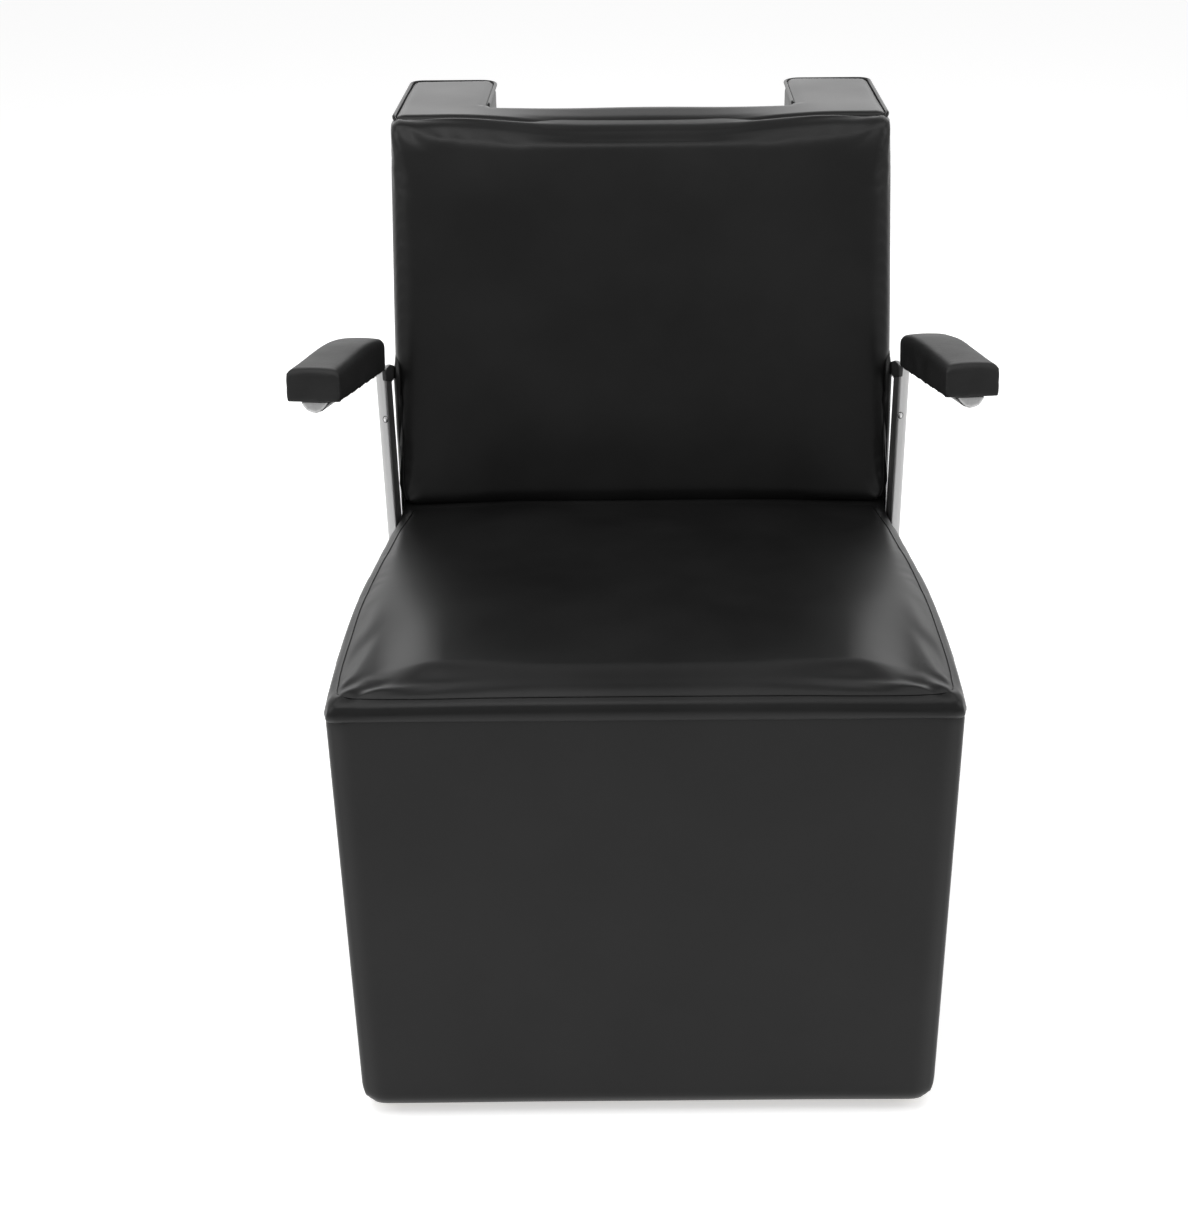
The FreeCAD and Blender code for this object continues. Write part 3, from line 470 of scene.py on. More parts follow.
def seat_rise(inward, along):
    """How far the padding stands over the seat's plane: a crown with a roll round it."""
    middle = smoothstep(inward, 0.07, 0.23)
    near_corner = 1 - smoothstep(along, 0.05, 0.30)
    front = smoothstep(along, 0.032, 0.068) * (1 - middle)
    front = front + smoothstep(along, 0.006, 0.060) * middle
    valley_at = np.clip(0.058 - 0.055 * (along - 0.035), 0.044, 0.058)
    tight = smoothstep(inward, valley_at - 0.006, valley_at + 0.062)
    loose = smoothstep(inward, 0.015, 0.17)
    side = tight * near_corner + loose * (1 - near_corner)
    rear = 1 - 0.5 * smoothstep(along, 0.44, 0.56)
    rise = SEAT_CROWN * front * side * rear
    rise -= 0.0020 * hump(inward, valley_at, 0.022) * near_corner * smoothstep(along, 0.020, 0.060)
    rise -= 0.0012 * hump(along, 0.035, 0.010) * (1 - middle) * smoothstep(inward, 0.02, 0.06)
    lip = 0.0018 * hump(along, 0.0195, 0.0085) * smoothstep(inward, 0.006, 0.03)
    rise += lip * (1 - 0.5 * middle)
    return rise + 0.009 * smoothstep(along, 0.562, 0.588)


def seat_seam():
    """The seam round the top panel: up one side, across the nose, and back up the other."""
    half_path = [(0.0, 0.0095), (0.10, 0.0095), (0.20, 0.0095), (0.262, 0.0099), (0.280, 0.0112),
                 (0.2895, 0.0146), (0.2935, 0.0200), (0.2945, 0.028)]
    for i in range(1, 15):
        along = 0.028 + i * 0.0382
        half_path.append((float(seat_half(np.array(along))) - 0.0135 - 0.006 * i / 14, along))
    left = [(-x, along) for x, along in reversed(half_path[1:])]
    return [(x, along, -0.0006) for x, along in left + half_path]


def nose_fullness(x):
    """The share of the nose's drop at a place across it: the middle is fuller."""
    return 0.7 + 0.3 * float(smoothstep(abs(x), 0.06, 0.26))


def make_seat():
    """The crowned seat cushion with its front boxing."""
    rings = []
    nose = [(-0.0042, 0.0150), (-0.0037, 0.0098), (-0.0020, 0.0057), (0.0012, 0.0027),
            (0.0052, 0.0009), (0.0105, 0.0)]
    stations = nose + [(0.014 + i * (SEAT_LENGTH - 0.014) / 24, 0.0) for i in range(25)]
    radius = SEAT_EDGE_RADIUS
    for along, drop in stations:
        half = float(seat_half(np.array(along))) - 0.0012
        flat = half - radius
        turn = [(flat + radius * math.cos(a), along, -drop - radius + radius * math.sin(a))
                for a in QUARTER_TURN]
        turn_back = [(-x, y, z) for x, y, z in reversed(turn)]
        across = [(flat * (1 - i / 6), along, -drop * nose_fullness(flat * (1 - i / 6)))
                  for i in range(1, 12)]
        under = [((half - 0.002) * (i / 6 - 1), along, -SEAT_THICKNESS) for i in range(13)]
        rings.append(turn + across + turn_back + under)
    data = remeshed("seat", lofted("seat_start", rings), CUSHION_VOXEL, 1)
    data = puffed("seat", data, lambda p: (p[:, 2] < -0.020) | (p[:, 1] > 0.575), 2.4)
    data = subdivided("seat_cushion_vinyl", data)
    points = positions(data)
    x, y, z = points.T
    points[:, 1] += 0.0042 * smoothstep(-z, 0.013, 0.024) * (1 - smoothstep(y, 0.01, 0.03))
    upper = smoothstep(z, -0.016, -0.003)
    wave = 0.0005 * waves(points, 3, 0.16) * smoothstep(y, 0.018, 0.075)
    points[:, 2] += upper * (seat_rise(seat_half(y) - np.abs(x), y) + wave)
    move_to(data, points)
    line = sewn(data, seat_seam(), 0.0005, 0.0032)
    move_to(data, seat_world(positions(data)))
    finish_piece("seat_cushion_vinyl", data, BODY, ["seat_cushion"])
    tube("seat_seam_fold", [tuple(point) for point in seat_world(line)], 0.0005)


# The back cushion leans back; its front face and rear line are parallel
LEAN = math.tan(math.radians(15))
CREASE_Y = SEAT_FRONT + CREASE_DISTANCE
CREASE_Z = SEAT_HEIGHT - CREASE_DISTANCE * math.tan(SEAT_PITCH)
BACK_HALF_WIDTH = 0.3055
BACK_NARROWING = 0.0055
BACK_REAR = 0.0518
BACK_FRONT = 0.002
BACK_CORNER_RADIUS = 0.012
TOP_SEAM_BACK = 0.027
WELL_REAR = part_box("well_cover")[1][1]


def back_half(height):
    """Half the back's width at a height."""
    share = np.clip((height - CREASE_Z) / (BACK_TOP - CREASE_Z), 0, 1)
    return BACK_HALF_WIDTH - BACK_NARROWING * share


def back_face(height):
    """The place of the back's front face at a height."""
    return CREASE_Y + (height - CREASE_Z) * LEAN


TOP_FRONT = back_face(BACK_TOP) + TOP_SEAM_BACK


def middle_drop(x, y):
    """How far the top sinks between the wings, from the well's edge to the roll of the back."""
    between = 1 - smoothstep(np.abs(x), 0.06, 0.235)
    return 0.0125 * between * np.clip((WELL_REAR - y) / (WELL_REAR - TOP_FRONT + 0.013), 0, 1)


def roll_radius(x):
    """The radius of the back's top roll: small in the middle, large at the corners."""
    return 0.018 - 0.006 * (1 - smoothstep(np.abs(x), 0.05, 0.285))


def back_levels():
    """Pairs of functions of x, each pair the height and the tuck of one ring of the back."""
    low = CREASE_Z + 0.0006
    corner = 0.010
    straight = BACK_TOP - 0.028
    levels = []
    for degrees in range(0, 90, 15):
        angle = math.radians(degrees)
        height = low + corner * (1 - math.cos(angle))
        tuck = corner * (1 - math.sin(angle))
        levels.append((lambda x, height=height: height, lambda x, tuck=tuck: tuck))
    for i in range(25):
        height = low + corner + (straight - low - corner) * i / 24
        levels.append((lambda x, height=height: height, lambda x: 0.0))
    for degrees in range(15, 91, 15):
        sine = math.sin(math.radians(degrees))
        cosine = math.cos(math.radians(degrees))
        levels.append((lambda x, sine=sine: BACK_TOP - float(roll_radius(x)) * (1 - sine),
                       lambda x, cosine=cosine: float(roll_radius(x)) * (1 - cosine)))
    return levels


def low_corner(height):
    """How far the back's low corners are drawn in at a height."""
    up = np.clip((height - CREASE_Z) / 0.042, 0, 1)
    return 0.0115 * (1 - np.sqrt(1 - (1 - up) ** 2))


def make_back():
    """The reclined back cushion: rolled over at the top, its low corners rounded."""
    rings = []
    for height, tuck in back_levels():
        edge = height(0.3)
        half = float(back_half(edge) - low_corner(edge)) - 0.001 - tuck(0.3) * 0.35
        front = BACK_FRONT + tuck(0.3)
        rear = BACK_REAR - 0.001
        radius = min(BACK_CORNER_RADIUS, (rear - front) / 2.2)
        plan = [(half - 2 * half * i / 12, rear) for i in range(13)]
        left = [(-half + radius - radius * math.cos(a), front + radius - radius * math.sin(a))
                for a in QUARTER_TURN]
        plan += left
        for i in range(1, 24):
            x = (-half + radius) * (1 - i / 12)
            plan.append((x, BACK_FRONT + tuck(x)))
        plan += [(-x, depth) for x, depth in reversed(left)]
        rings.append([(x, back_face(height(x)) + depth, height(x)) for x, depth in plan])
    data = remeshed("back", lofted("back_start", rings), CUSHION_VOXEL, 1)
    data = puffed("back", data,
                  lambda p: p[:, 1] > back_face(p[:, 2]) + BACK_REAR - 0.016, 2.0)
    data = subdivided("back_cushion_vinyl", data)
    points = positions(data)
    x, y, z = points.T
    depth = y - back_face(z)
    fore = 1 - smoothstep(depth, 0.008, 0.03)
    inward = back_half(z) - np.abs(x)
    crown = -0.0045 * smoothstep(inward, 0.0, 0.13) * smoothstep(z, CREASE_Z, CREASE_Z + 0.12)
    crown *= 1 - smoothstep(z, BACK_TOP - 0.09, BACK_TOP)
    points[:, 1] += fore * (crown + 0.0006 * waves(points, 11, 0.22))
    top = smoothstep(z, BACK_TOP - 0.030, BACK_TOP - 0.003)
    behind = smoothstep(depth, TOP_SEAM_BACK - 0.002, TOP_SEAM_BACK + 0.005)
    grooved = 0.0004 + 0.0030 * smoothstep(np.abs(x), 0.09, 0.18)
    points[:, 2] -= top * (middle_drop(x, y) + behind * grooved)
    # The sides are brought to an even line, front and rear each by its own measure
    levels = np.linspace(CREASE_Z, BACK_TOP, 36)
    wanted = 0.3018 - 0.0040 * smoothstep(levels, 0.60, 0.90) - low_corner(levels)
    factors = []
    for chosen in (depth < 0.030, depth > 0.040):
        actual = [np.abs(x[chosen & (np.abs(z - level) < 0.010)]).max() for level in levels[:-2]]
        actual = np.array(actual + actual[-1:] * 2)
        factors.append(np.interp(z, levels, wanted / actual))
    rear_share = smoothstep(depth, 0.026, 0.044)
    factor = factors[0] * (1 - rear_share) + factors[1] * rear_share
    points[:, 0] *= 1 + (factor - 1) * smoothstep(np.abs(x), 0.20, 0.28)
    move_to(data, points)
    edges = []
    for _, sign in SIDES:
        guide = []
        for i in range(12):
            height = CREASE_Z + 0.135 - 0.126 * i / 11
            half = 0.2985 - float(low_corner(height))
            guide.append((sign * half, back_face(height), height))
        edges.append(sewn(data, guide, 0.0004, 0.0024))
    finish_piece("back_cushion_vinyl", data, BODY, ["back_cushion"])
    for (side, _), line in zip(SIDES, edges):
        tube("back_seam_fold_" + side, [tuple(point) for point in line], 0.0007)


def prism(name, outline, axis, low, high):
    """A closed prism of an outline in the other two axes, between two places on one axis."""
    rings = []
    for place in (low, high):
        ring = []
        for u, v in outline:
            point = [u, v]
            point.insert(axis, place)
            ring.append(tuple(point))
        rings.append(ring)
    return lofted(name, rings)


def padded_panel(name, data, voxel, smoothing, shape, replaced):
    """An upholstered panel: evenly meshed, its edges eased, and shaped by a function."""
    data = remeshed(name, data, voxel, smoothing)
    move_to(data, shape(positions(data)))
    finish_piece(name, data, BODY, replaced)


def make_front():
    """The padded front panel with rounded upright edges and bottom corners."""
    low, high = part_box("front_pad")
    radius = 0.023
    outline = []
    for centre_x, start in ((high[0] - radius, 270), (low[0] + radius, 180)):
        side = []
        for degrees in range(start, start + 91, 15):
            angle = math.radians(degrees)
            side.append((centre_x + radius * math.cos(angle),
                         low[2] + radius + radius * math.sin(angle)))
        outline.append(side)
    top = high[2] + 0.0110
    ring = outline[1] + outline[0]
    ring = ring + [(high[0], top), (low[0], top)]
    data = prism("front_start", ring, 1, low[1], high[1])
    middle = (low[2] + high[2]) / 2

    def shape(points):
        x, y, z = points.T
        fore = 1 - smoothstep(y, low[1] + 0.002, high[1])
        edge = smoothstep(high[0] - np.abs(x), 0.0, 0.03)
        round_over = 0.0075 * (1 - edge) ** 2
        foot = 0.006 * (1 - smoothstep(z, low[2], low[2] + 0.02)) ** 2
        belly = -0.0005 * (1 - ((z - middle) / (high[2] - middle)) ** 2) * edge
        ripple = 0.0005 * waves(points, 21, 0.25) * edge
        points[:, 1] += fore * (round_over + foot + belly + ripple)
        tucked = 0.014 * smoothstep(z, high[2] - 0.001, high[2] + 0.010)
        points[:, 0] *= 1 + 0.0008 / high[0] - tucked
        points[:, 1] = np.maximum(points[:, 1], low[1] - 0.001)
        return points

    padded_panel("front_panel_vinyl", data, 0.005, 2, shape, ["front_pad"])


# The arms lie closer to the back than the plain solids do
ARM_SHIFT = 0.0040
ARM_TILT = math.radians(11.5)
ARM_SPLAY = math.radians(4.2)
POST_INNER = 0.3016
POST_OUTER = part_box("arm_post_right")[1][0] - ARM_SHIFT
POST_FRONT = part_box("arm_post_right")[0][1]
POST_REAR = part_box("arm_post_right")[1][1]
POST_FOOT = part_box("arm_post_right")[0][2]
POST_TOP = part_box("arm_post_right")[1][2]


def make_sides():
    """The side panels: thin padding over the boards, eased edges, pressed in by the posts."""
    for side, sign in SIDES:
        node_name = "side_cover_" + side
        low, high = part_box(node_name)
        inner = min(abs(low[0]), abs(high[0]))
        outer = max(abs(low[0]), abs(high[0]))
        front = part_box("front_pad")[1][1]
        rear = high[1]
        knee_z = SEAT_HEIGHT - 0.0831
        top = high[2] + 0.0030
        top_y = back_face(top) + BACK_REAR - 0.013
        beside_post = [(0.142, 0.622), (back_face(0.652) + BACK_REAR - 0.013, 0.652)]
        ring = [(front, low[2]), (front, SEAT_HEIGHT - 0.0281), (0.121, knee_z)] + beside_post
        ring += [(top_y, top), (rear, top), (rear, low[2])]
        data = prism(node_name + "_start", ring, 0, sign * inner, sign * outer)

        def shape(points, sign=sign, inner=inner, outer=outer, rear=rear, top=top, knee_z=knee_z):
            x, y, z = points.T
            share = np.clip((z - knee_z) / (BACK_TOP - knee_z), 0, 1)
            target = outer - 0.0042 * share
            out = smoothstep(np.abs(x), inner, outer)
            ripple = 0.0005 * waves(points, 31, 0.3)
            pressed = smoothstep(y, POST_FRONT - 0.012, POST_FRONT)
            pressed *= smoothstep(z, POST_FOOT - 0.02, POST_FOOT)
            pressed *= 1 - smoothstep(y, POST_REAR, POST_REAR + 0.012)
            target = target + (POST_INNER - 0.0002 - target) * pressed
            rear_edge = 0.004 * (1 - smoothstep(rear - y, 0.0, 0.012)) ** 2
            rear_edge = rear_edge + 0.0048 * (1 - smoothstep(top - z, 0.0, 0.013)) ** 2
            points[:, 0] = sign * (inner + (np.abs(x) - inner) * (target - inner) / (outer - inner)
                                   - out * (rear_edge - ripple * 0.6 + 0.0004))
            return points

        padded_panel(node_name + "_vinyl", data, 0.006, 2, shape, [node_name])


TOP_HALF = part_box("back_top_cover")[1][0] - 0.0055
TOP_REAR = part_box("back_top_cover")[1][1]
TOP_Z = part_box("back_top_cover")[1][2]
WELL_HALF = 0.186
WING_FRONT_RADIUS = 0.012
WING_REAR_RADIUS = 0.014
WELL_CORNER_RADIUS = 0.020


def rounded(corner_x, corner_y, toward_x, toward_y, radius):
    """Points round a corner whose middle lies toward_x and toward_y of it, from the side on."""
    middle_x = corner_x + toward_x * radius
    middle_y = corner_y + toward_y * radius
    return [(middle_x - toward_x * radius * math.cos(a),
             middle_y - toward_y * radius * math.sin(a)) for a in QUARTER_TURN]


def wing_outline(sign):
    """A wing top's edge seen from above, from its front outer corner round to the well."""
    outline = list(reversed(rounded(sign * TOP_HALF, TOP_FRONT, -sign, 1, WING_FRONT_RADIUS)))
    outline += rounded(sign * TOP_HALF, TOP_REAR, -sign, -1, WING_REAR_RADIUS)
    outline += list(reversed(rounded(sign * WELL_HALF, TOP_REAR, sign, -1, WELL_CORNER_RADIUS)))
    return outline


def make_top():
    """The level top: one piece of vinyl round the well and over both wings."""
    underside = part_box("back_top_cover")[0][2]
    ring = wing_outline(1) + [(WELL_HALF, WELL_REAR), (-WELL_HALF, WELL_REAR)]
    ring += list(reversed(wing_outline(-1)))
    data = prism("top_start", ring, 2, underside, TOP_Z)

    def shape(points):
        x, y, z = points.T
        up = smoothstep(z, underside + 0.001, TOP_Z)
        outer = np.minimum(TOP_HALF - np.abs(x), TOP_REAR - y)
        inner = np.where(np.abs(x) < WELL_HALF, WELL_REAR - y, 1.0)
        inner = np.where((y > WELL_REAR) & (np.abs(x) >= WELL_HALF), np.abs(x) - WELL_HALF, inner)
        edge = np.clip(np.minimum(outer, inner), 0, 0.05)
        ease = 0.0026 * (1 - smoothstep(edge, 0.0, 0.012))
        sides = smoothstep(np.abs(x), 0.08, 0.17)
        ease += 0.0034 * sides * (1 - smoothstep(y - TOP_FRONT, 0.0, 0.010))
        ease += 0.0040 * (1 - sides) * (1 - smoothstep(y - TOP_FRONT, 0.0, 0.024))
        lift = 0.0012 - ease + 0.0005 * waves(points, 41, 0.14)
        points[:, 2] += up * lift - middle_drop(x, y)
        return points

    padded_panel("back_top_vinyl", data, 0.004, 1, shape, ["back_top_cover"])


def round_corner(points, rear, radius):
    """Draws in the points of a wing's cover outside a round inner rear corner."""
    side = np.sign(points[:, 0])
    from_middle_x = np.abs(points[:, 0]) - WELL_HALF - radius
    from_middle_y = points[:, 1] - rear + radius
    reach = np.hypot(from_middle_x, from_middle_y)
    outside = (from_middle_x < 0) & (from_middle_y > 0) & (reach > radius)
    share = np.where(outside, radius / np.maximum(reach, 1e-6), 1.0)
    points[:, 0] = side * (WELL_HALF + radius + from_middle_x * share)
    points[:, 1] = rear - radius + from_middle_y * share


def make_plain_covers():
    """The wings' inner and rear faces, the well's wall and the rear of the base."""
    for number, name in enumerate(
            ("wing_cover_left", "wing_cover_right", "well_cover", "base_rear_cover")):
        data = frame["nodes"][name].data.copy()

        def shape(points, number=number, name=name):
            points += 0.0003 * waves(points, 51 + number, 0.2)[:, None]
            if "wing" in name:
                round_corner(points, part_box(name)[1][1], 0.019)
            return points

        padded_panel(name + "_vinyl", data, 0.0035, 1, shape, [name])


def tube(name, points, radius, mat=VINYL, closed=False):
    """A thin round strip along points, as a mesh."""
    curve = bpy.data.curves.new(name + "_curve", "CURVE")
    curve.dimensions = "3D"
    curve.bevel_depth = radius
    curve.bevel_resolution = 3
    curve.use_fill_caps = True
    spline = curve.splines.new("POLY")
    spline.points.add(len(points) - 1)
    for place, point in zip(spline.points, points):
        place.co = (*point, 1)
    spline.use_cyclic_u = closed
    carrier = bpy.data.objects.new(name + "_curve", curve)
    SCENE.collection.objects.link(carrier)
    bpy.context.view_layer.update()
    data = bpy.data.meshes.new_from_object(
        carrier.evaluated_get(bpy.context.evaluated_depsgraph_get()))
    bpy.data.objects.remove(carrier)
    data.name = name
    return finish_piece(name, data, BODY, [], mat)


def make_welts():
    """Piping round the wings' tops, which runs into the front seam."""
    for side, sign in SIDES:
        outline = wing_outline(sign) + [(sign * WELL_HALF, WELL_REAR + 0.012)]
        points = []
        for (x0, y0), (x1, y1) in zip(outline, outline[1:]):
            steps = max(1, int(math.hypot(x1 - x0, y1 - y0) / 0.008))
            points += [(x0 + (x1 - x0) * i / steps, y0 + (y1 - y0) * i / steps)
                       for i in range(steps)]
        points += [outline[-1], (sign * (WELL_HALF + 0.004), WELL_REAR + 0.006)]
        sunk = [0.0042 * (1 - float(smoothstep(y - TOP_FRONT, 0.0, 0.012))) for x, y in points]
        sunk[-1] = 0.005
        points = [(x, y, TOP_Z - 0.0012 - down) for (x, y), down in zip(points, sunk)]
        tube("top_welt_" + side, points, 0.0022)


def arm_turn(sign):
    """An arm's splay and tilt as a matrix."""
    return np.array(Matrix.Rotation(ARM_SPLAY * sign, 3, "Z")
                    @ Matrix.Rotation(-ARM_TILT, 3, "X"))


def make_arm_pad(side, sign):
    """A moulded arm pad: softened edges, a crowned top, its rear end rounded and eased down."""
    name = "arm_pad_" + side
    data = frame["nodes"][name].data.copy()
    data = remeshed(name + "_urethane", data, 0.0024, 3)
    points = positions(data) @ arm_turn(sign)
    low = points.min(axis=0)
    high = points.max(axis=0)
    middle = (low[0] + high[0]) / 2
    end = 0.045
    back = np.clip((points[:, 1] - high[1] + end) / end, 0, 1) ** 2
    upper = smoothstep(points[:, 2], low[2], high[2])
    points[:, 0] = middle + (points[:, 0] - middle) * (1 - 0.13 * back)
    share = (points[:, 1] - low[1]) / (high[1] - low[1])
    across = (points[:, 0] - middle) / (high[0] - low[0]) * 2
    crown = 0.0062 * np.sin(math.pi * np.clip(share, 0, 1) ** 1.5) - 0.0022 * across ** 2
    points[:, 2] += upper * (crown - 0.003 * back ** 2)
    points = points @ arm_turn(sign).T
    points += 0.0002 * waves(points, 61, 0.05)[:, None]
    points[:, 0] -= sign * ARM_SHIFT
    move_to(data, points)
    finish_piece(name + "_urethane", data, BODY, [name], URETHANE)


def make_arm_rail(side, sign):
    """The half-round rail under a pad, its ends softened."""
    name = "arm_rail_" + side
    data = frame["nodes"][name].data.copy()
    data = remeshed(name + "_steel", data, 0.0016, 2)
    points = positions(data)
    points[:, 0] -= sign * ARM_SHIFT
    move_to(data, points)
    finish_piece(name + "_steel", data, BODY, [name], SATIN_STEEL)


def make_arm_post(side, sign):
    """The arm's upright: a flat bar with rounded edges, its top cut to the pad's slope."""
    radius = 0.0013
    ring = []
    for corner_x, corner_y, toward_x, toward_y in (
            (POST_INNER, POST_FRONT, 1, 1), (POST_OUTER, POST_FRONT, -1, 1),
            (POST_OUTER, POST_REAR, -1, -1), (POST_INNER, POST_REAR, 1, -1)):
        turn = rounded(corner_x, corner_y, toward_x, toward_y, radius)
        ring += turn if toward_x * toward_y > 0 else list(reversed(turn))
    ring = [(sign * x, y) for x, y in ring]
    data = prism("post_start", ring, 2, POST_FOOT, POST_TOP)
    data = remeshed("arm_post_" + side + "_steel", data, 0.0015, 2)
    points = positions(data)
    share = smoothstep(points[:, 2], POST_TOP - 0.10, POST_TOP)
    points[:, 2] -= share * (points[:, 1] - POST_FRONT) * math.tan(ARM_TILT)
    move_to(data, points)
    finish_piece("arm_post_" + side + "_steel", data, BODY, ["arm_post_" + side],
                 SATIN_STEEL)


def merged(name, parts):
    """One mesh from several."""
    work = bmesh.new()
    for part in parts:
        work.from_mesh(part)
    data = bpy.data.meshes.new(name)
    work.to_mesh(data)
    work.free()
    return data


BRACKET_BOLT = (0.224, 0.585)
STRAP_END_RADIUS = 0.012
STRAP_INNER = POST_INNER - 0.0008
STRAP_OUTER = POST_INNER + 0.0046
SCREW_PLACE = ((POST_INNER + POST_OUTER) / 2 - 0.0016, 0.582)
SCREW_HALF_WIDTH = 0.0030
SCREW_HALF_HEIGHT = 0.0042
BOLT_HEAD_RADIUS = 0.0065
WASHER_RADIUS = 0.0080
WASHER_THICKNESS = 0.0012
HEAD_HEIGHT = 0.0050


def make_arm_bracket(side, sign):
    """The black strap from the post's top down to the side of the back."""
    top = POST_TOP
    strap = [(POST_REAR - 0.004, top - 0.0075), (POST_FRONT - 0.0010, top + 0.0006),
             (POST_FRONT - 0.0010, top - 0.0130), (POST_REAR, top - 0.031),
             (POST_REAR + 0.017, top - 0.032)]
    bolt_y, bolt_z = BRACKET_BOLT
    for degrees in range(-105, 76, 15):
        angle = math.radians(degrees)
        strap.append((bolt_y + STRAP_END_RADIUS * math.cos(angle),
                      bolt_z + STRAP_END_RADIUS * math.sin(angle)))
    name = "arm_bracket_" + side
    data = prism("strap", strap, 0, sign * STRAP_INNER, sign * STRAP_OUTER)
    data = remeshed(name + "_steel", data, 0.0013, 2)
    finish_piece(name + "_steel", data, BODY, [name], BLACK_STEEL)


def disc(name, centre, sign, start, end, radius, sides):
    """A short round or hexagonal solid along X, its outer edge chamfered."""
    rings = []
    edge = radius * 0.10
    for x, size in ((start, radius), (end - edge, radius), (end, radius - edge)):
        rings.append([(sign * x, centre[0] + size * math.cos(2 * math.pi * (i + 0.5) / sides),
                       centre[1] + size * math.sin(2 * math.pi * (i + 0.5) / sides))
                      for i in range(sides)])
    return lofted(name, rings)


def make_bolts(name, spots, surface, reach):
    """Bolts on both sides of the chair, each with a shank, a washer and a hexagonal head."""
    washer_top = surface + WASHER_THICKNESS
    head_top = surface + HEAD_HEIGHT
    parts = []
    for _, sign in SIDES:
        for spot in spots:
            parts.append(disc("shank", spot, sign, reach, surface, BOLT_HEAD_RADIUS * 0.42, 24))
            parts.append(disc("washer", spot, sign, surface, washer_top, WASHER_RADIUS, 40))
            parts.append(disc("head", spot, sign, washer_top, head_top, BOLT_HEAD_RADIUS, 6))
    made = finish_piece(name + "_zinc", merged(name, parts), BODY, [name], ZINC)
    made.data.polygons.foreach_set("use_smooth", [False] * len(made.data.polygons))


def make_fasteners():
    """The arms' bolts at the posts' feet and the straps' ends, and a screw in each post's front
    with a black ring of painted shade round its head.
    """
    post_middle = (POST_FRONT + POST_REAR) / 2
    foot_bolts = [(post_middle, POST_FOOT + 0.028), (post_middle, POST_FOOT + 0.088)]
    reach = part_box("side_bolts")[1][0] - 0.047
    make_bolts("side_bolts", foot_bolts, POST_OUTER, reach)
    make_bolts("bracket_bolts", [BRACKET_BOLT], STRAP_OUTER, reach)
    screws = []
    screw_x, screw_z = SCREW_PLACE
    for side, sign in SIDES:
        rings = []
        for y, size in ((0.020, 0.9), (0.0, 0.9), (-0.0006, 0.8), (-0.0009, 0.4)):
            rings.append([(sign * screw_x + SCREW_HALF_WIDTH * size * math.cos(math.radians(a)),
                           POST_FRONT + y,
                           screw_z + SCREW_HALF_HEIGHT * size * math.sin(math.radians(a)))
                          for a in range(0, 360, 15)])
        screws.append(lofted("screw", rings))
        # A black ring round each screw head: painted shade, standing in for the shadow in the slot
        # round the head.
        shade_ring = [(x, y + 0.0004, z) for x, y, z in rings[1]]
        tube("post_screw_shade_ring_" + side, shade_ring, 0.0008, BLACK_STEEL, True)
    finish_piece("post_bolts_zinc", merged("post_bolts", screws), BODY, ["post_bolts"],
                 ZINC)


make_seat()
make_back()
make_front()
make_sides()
make_top()
make_plain_covers()
make_welts()
for side, sign in SIDES:
    make_arm_pad(side, sign)
    make_arm_rail(side, sign)
    make_arm_post(side, sign)
    make_arm_bracket(side, sign)
make_fasteners()


# Floor, light and background


def shown_rays(tree):
    """1 for camera, glossy and transmission rays, else 0."""
    path = tree.nodes.new("ShaderNodeLightPath")
    first = combined(tree, "MAXIMUM", path.outputs["Is Camera Ray"], path.outputs["Is Glossy Ray"])
    return combined(tree, "MAXIMUM", first, path.outputs["Is Transmission Ray"])


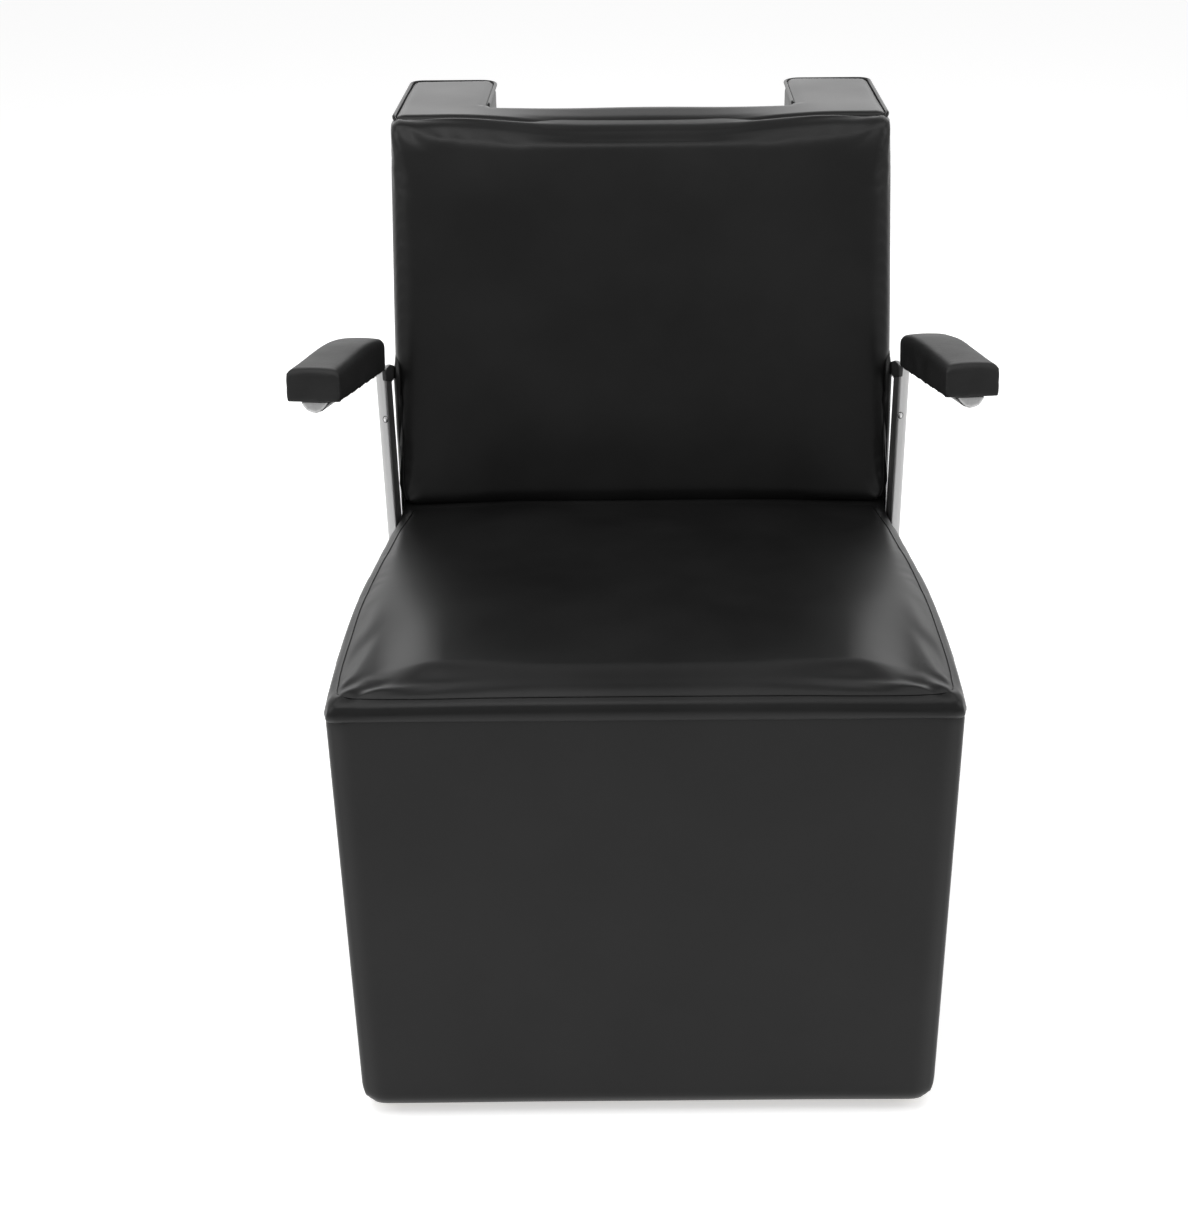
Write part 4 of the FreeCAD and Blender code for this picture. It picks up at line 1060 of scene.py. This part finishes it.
def make_world():
    """White where the camera sees it; reflections find it darker behind the camera and above."""
    world = bpy.data.worlds.new("studio")
    world.use_nodes = True
    SCENE.world = world
    tree = world.node_tree
    place = tree.nodes.new("ShaderNodeTexCoord")
    parts = tree.nodes.new("ShaderNodeSeparateXYZ")
    tree.links.new(place.outputs["Generated"], parts.inputs[0])
    ahead = mapped(tree, parts.outputs["Y"], From_Min=0.0, From_Max=-1.0)
    level = mapped(tree, parts.outputs["Z"], From_Min=0.75, From_Max=0.1)
    upper = mapped(tree, parts.outputs["Z"], From_Min=0.5, From_Max=0.8, To_Max=1.3)
    darker = combined(tree, "MAXIMUM", combined(tree, "MULTIPLY", ahead, level), upper)
    path = tree.nodes.new("ShaderNodeLightPath")
    unseen = spread(tree, path.outputs["Is Camera Ray"], 0.65, 0.0)
    shade = combined(tree, "MULTIPLY", darker, unseen)
    strength = spread(tree, shade, 1.0, 0.0)
    shown = node(tree, "ShaderNodeBackground", Color=grey(1.0))
    tree.links.new(strength, shown.inputs["Strength"])
    soft = node(tree, "ShaderNodeBackground", Color=grey(1.0), Strength=0.55)
    mix = tree.nodes.new("ShaderNodeMixShader")
    tree.links.new(shown_rays(tree), mix.inputs["Fac"])
    tree.links.new(soft.outputs[0], mix.inputs[1])
    tree.links.new(shown.outputs[0], mix.inputs[2])
    tree.links.new(mix.outputs[0], tree.nodes["World Output"].inputs["Surface"])


def make_floor():
    """A wide pale floor, which the camera and reflections see as white."""
    data = bpy.data.meshes.new("floor")
    size = 30
    data.from_pydata([(-size, -size, 0), (size, -size, 0), (size, size, 0), (-size, size, 0)],
                     [], [(0, 1, 2, 3)])
    mat, tree, shader = material("pale_floor")
    shader.inputs["Base Color"].default_value = grey(0.8)
    shader.inputs["Roughness"].default_value = 0.9
    shader.inputs["Specular IOR Level"].default_value = 0.0
    shader.inputs["Emission Color"].default_value = grey(1.0)
    tree.links.new(spread(tree, shown_rays(tree), 0.0, 0.5), shader.inputs["Emission Strength"])
    floor = link_mesh("floor", data, mat)


def area_light(name, place, target, size, power, height=None):
    """A lamp at a place, turned to a target."""
    data = bpy.data.lights.new(name, "AREA")
    data.shape = "RECTANGLE"
    data.size = size
    data.size_y = height or size
    data.energy = power
    lamp = bpy.data.objects.new(name, data)
    SCENE.collection.objects.link(lamp)
    lamp.location = place
    way = Vector(target) - Vector(place)
    lamp.rotation_euler = way.to_track_quat("-Z", "Y").to_euler()


make_world()
make_floor()
area_light("overhead_left", (-1.1, 0.2, 3.2), (-0.5, 0.1, 0.6), 1.4, 20, 1.7)
area_light("overhead_right", (1.1, 0.2, 3.2), (0.5, 0.1, 0.6), 1.4, 16, 1.7)
area_light("above_left", (-0.5, -1.2, 3.2), (-0.3, -0.5, 0.5), 1.0, 18, 1.5)
area_light("above_right", (0.55, -1.2, 3.2), (0.3, -0.5, 0.5), 0.8, 6, 1.5)
area_light("left", (-2.9, -1.0, 2.7), (0, 0, 0.6), 2.0, 32)
area_light("right", (2.9, -1.0, 2.7), (0, 0, 0.6), 2.0, 25)
area_light("behind", (0, 3.2, 1.6), (0, 0, 0.8), 4.5, 24, 1.6)
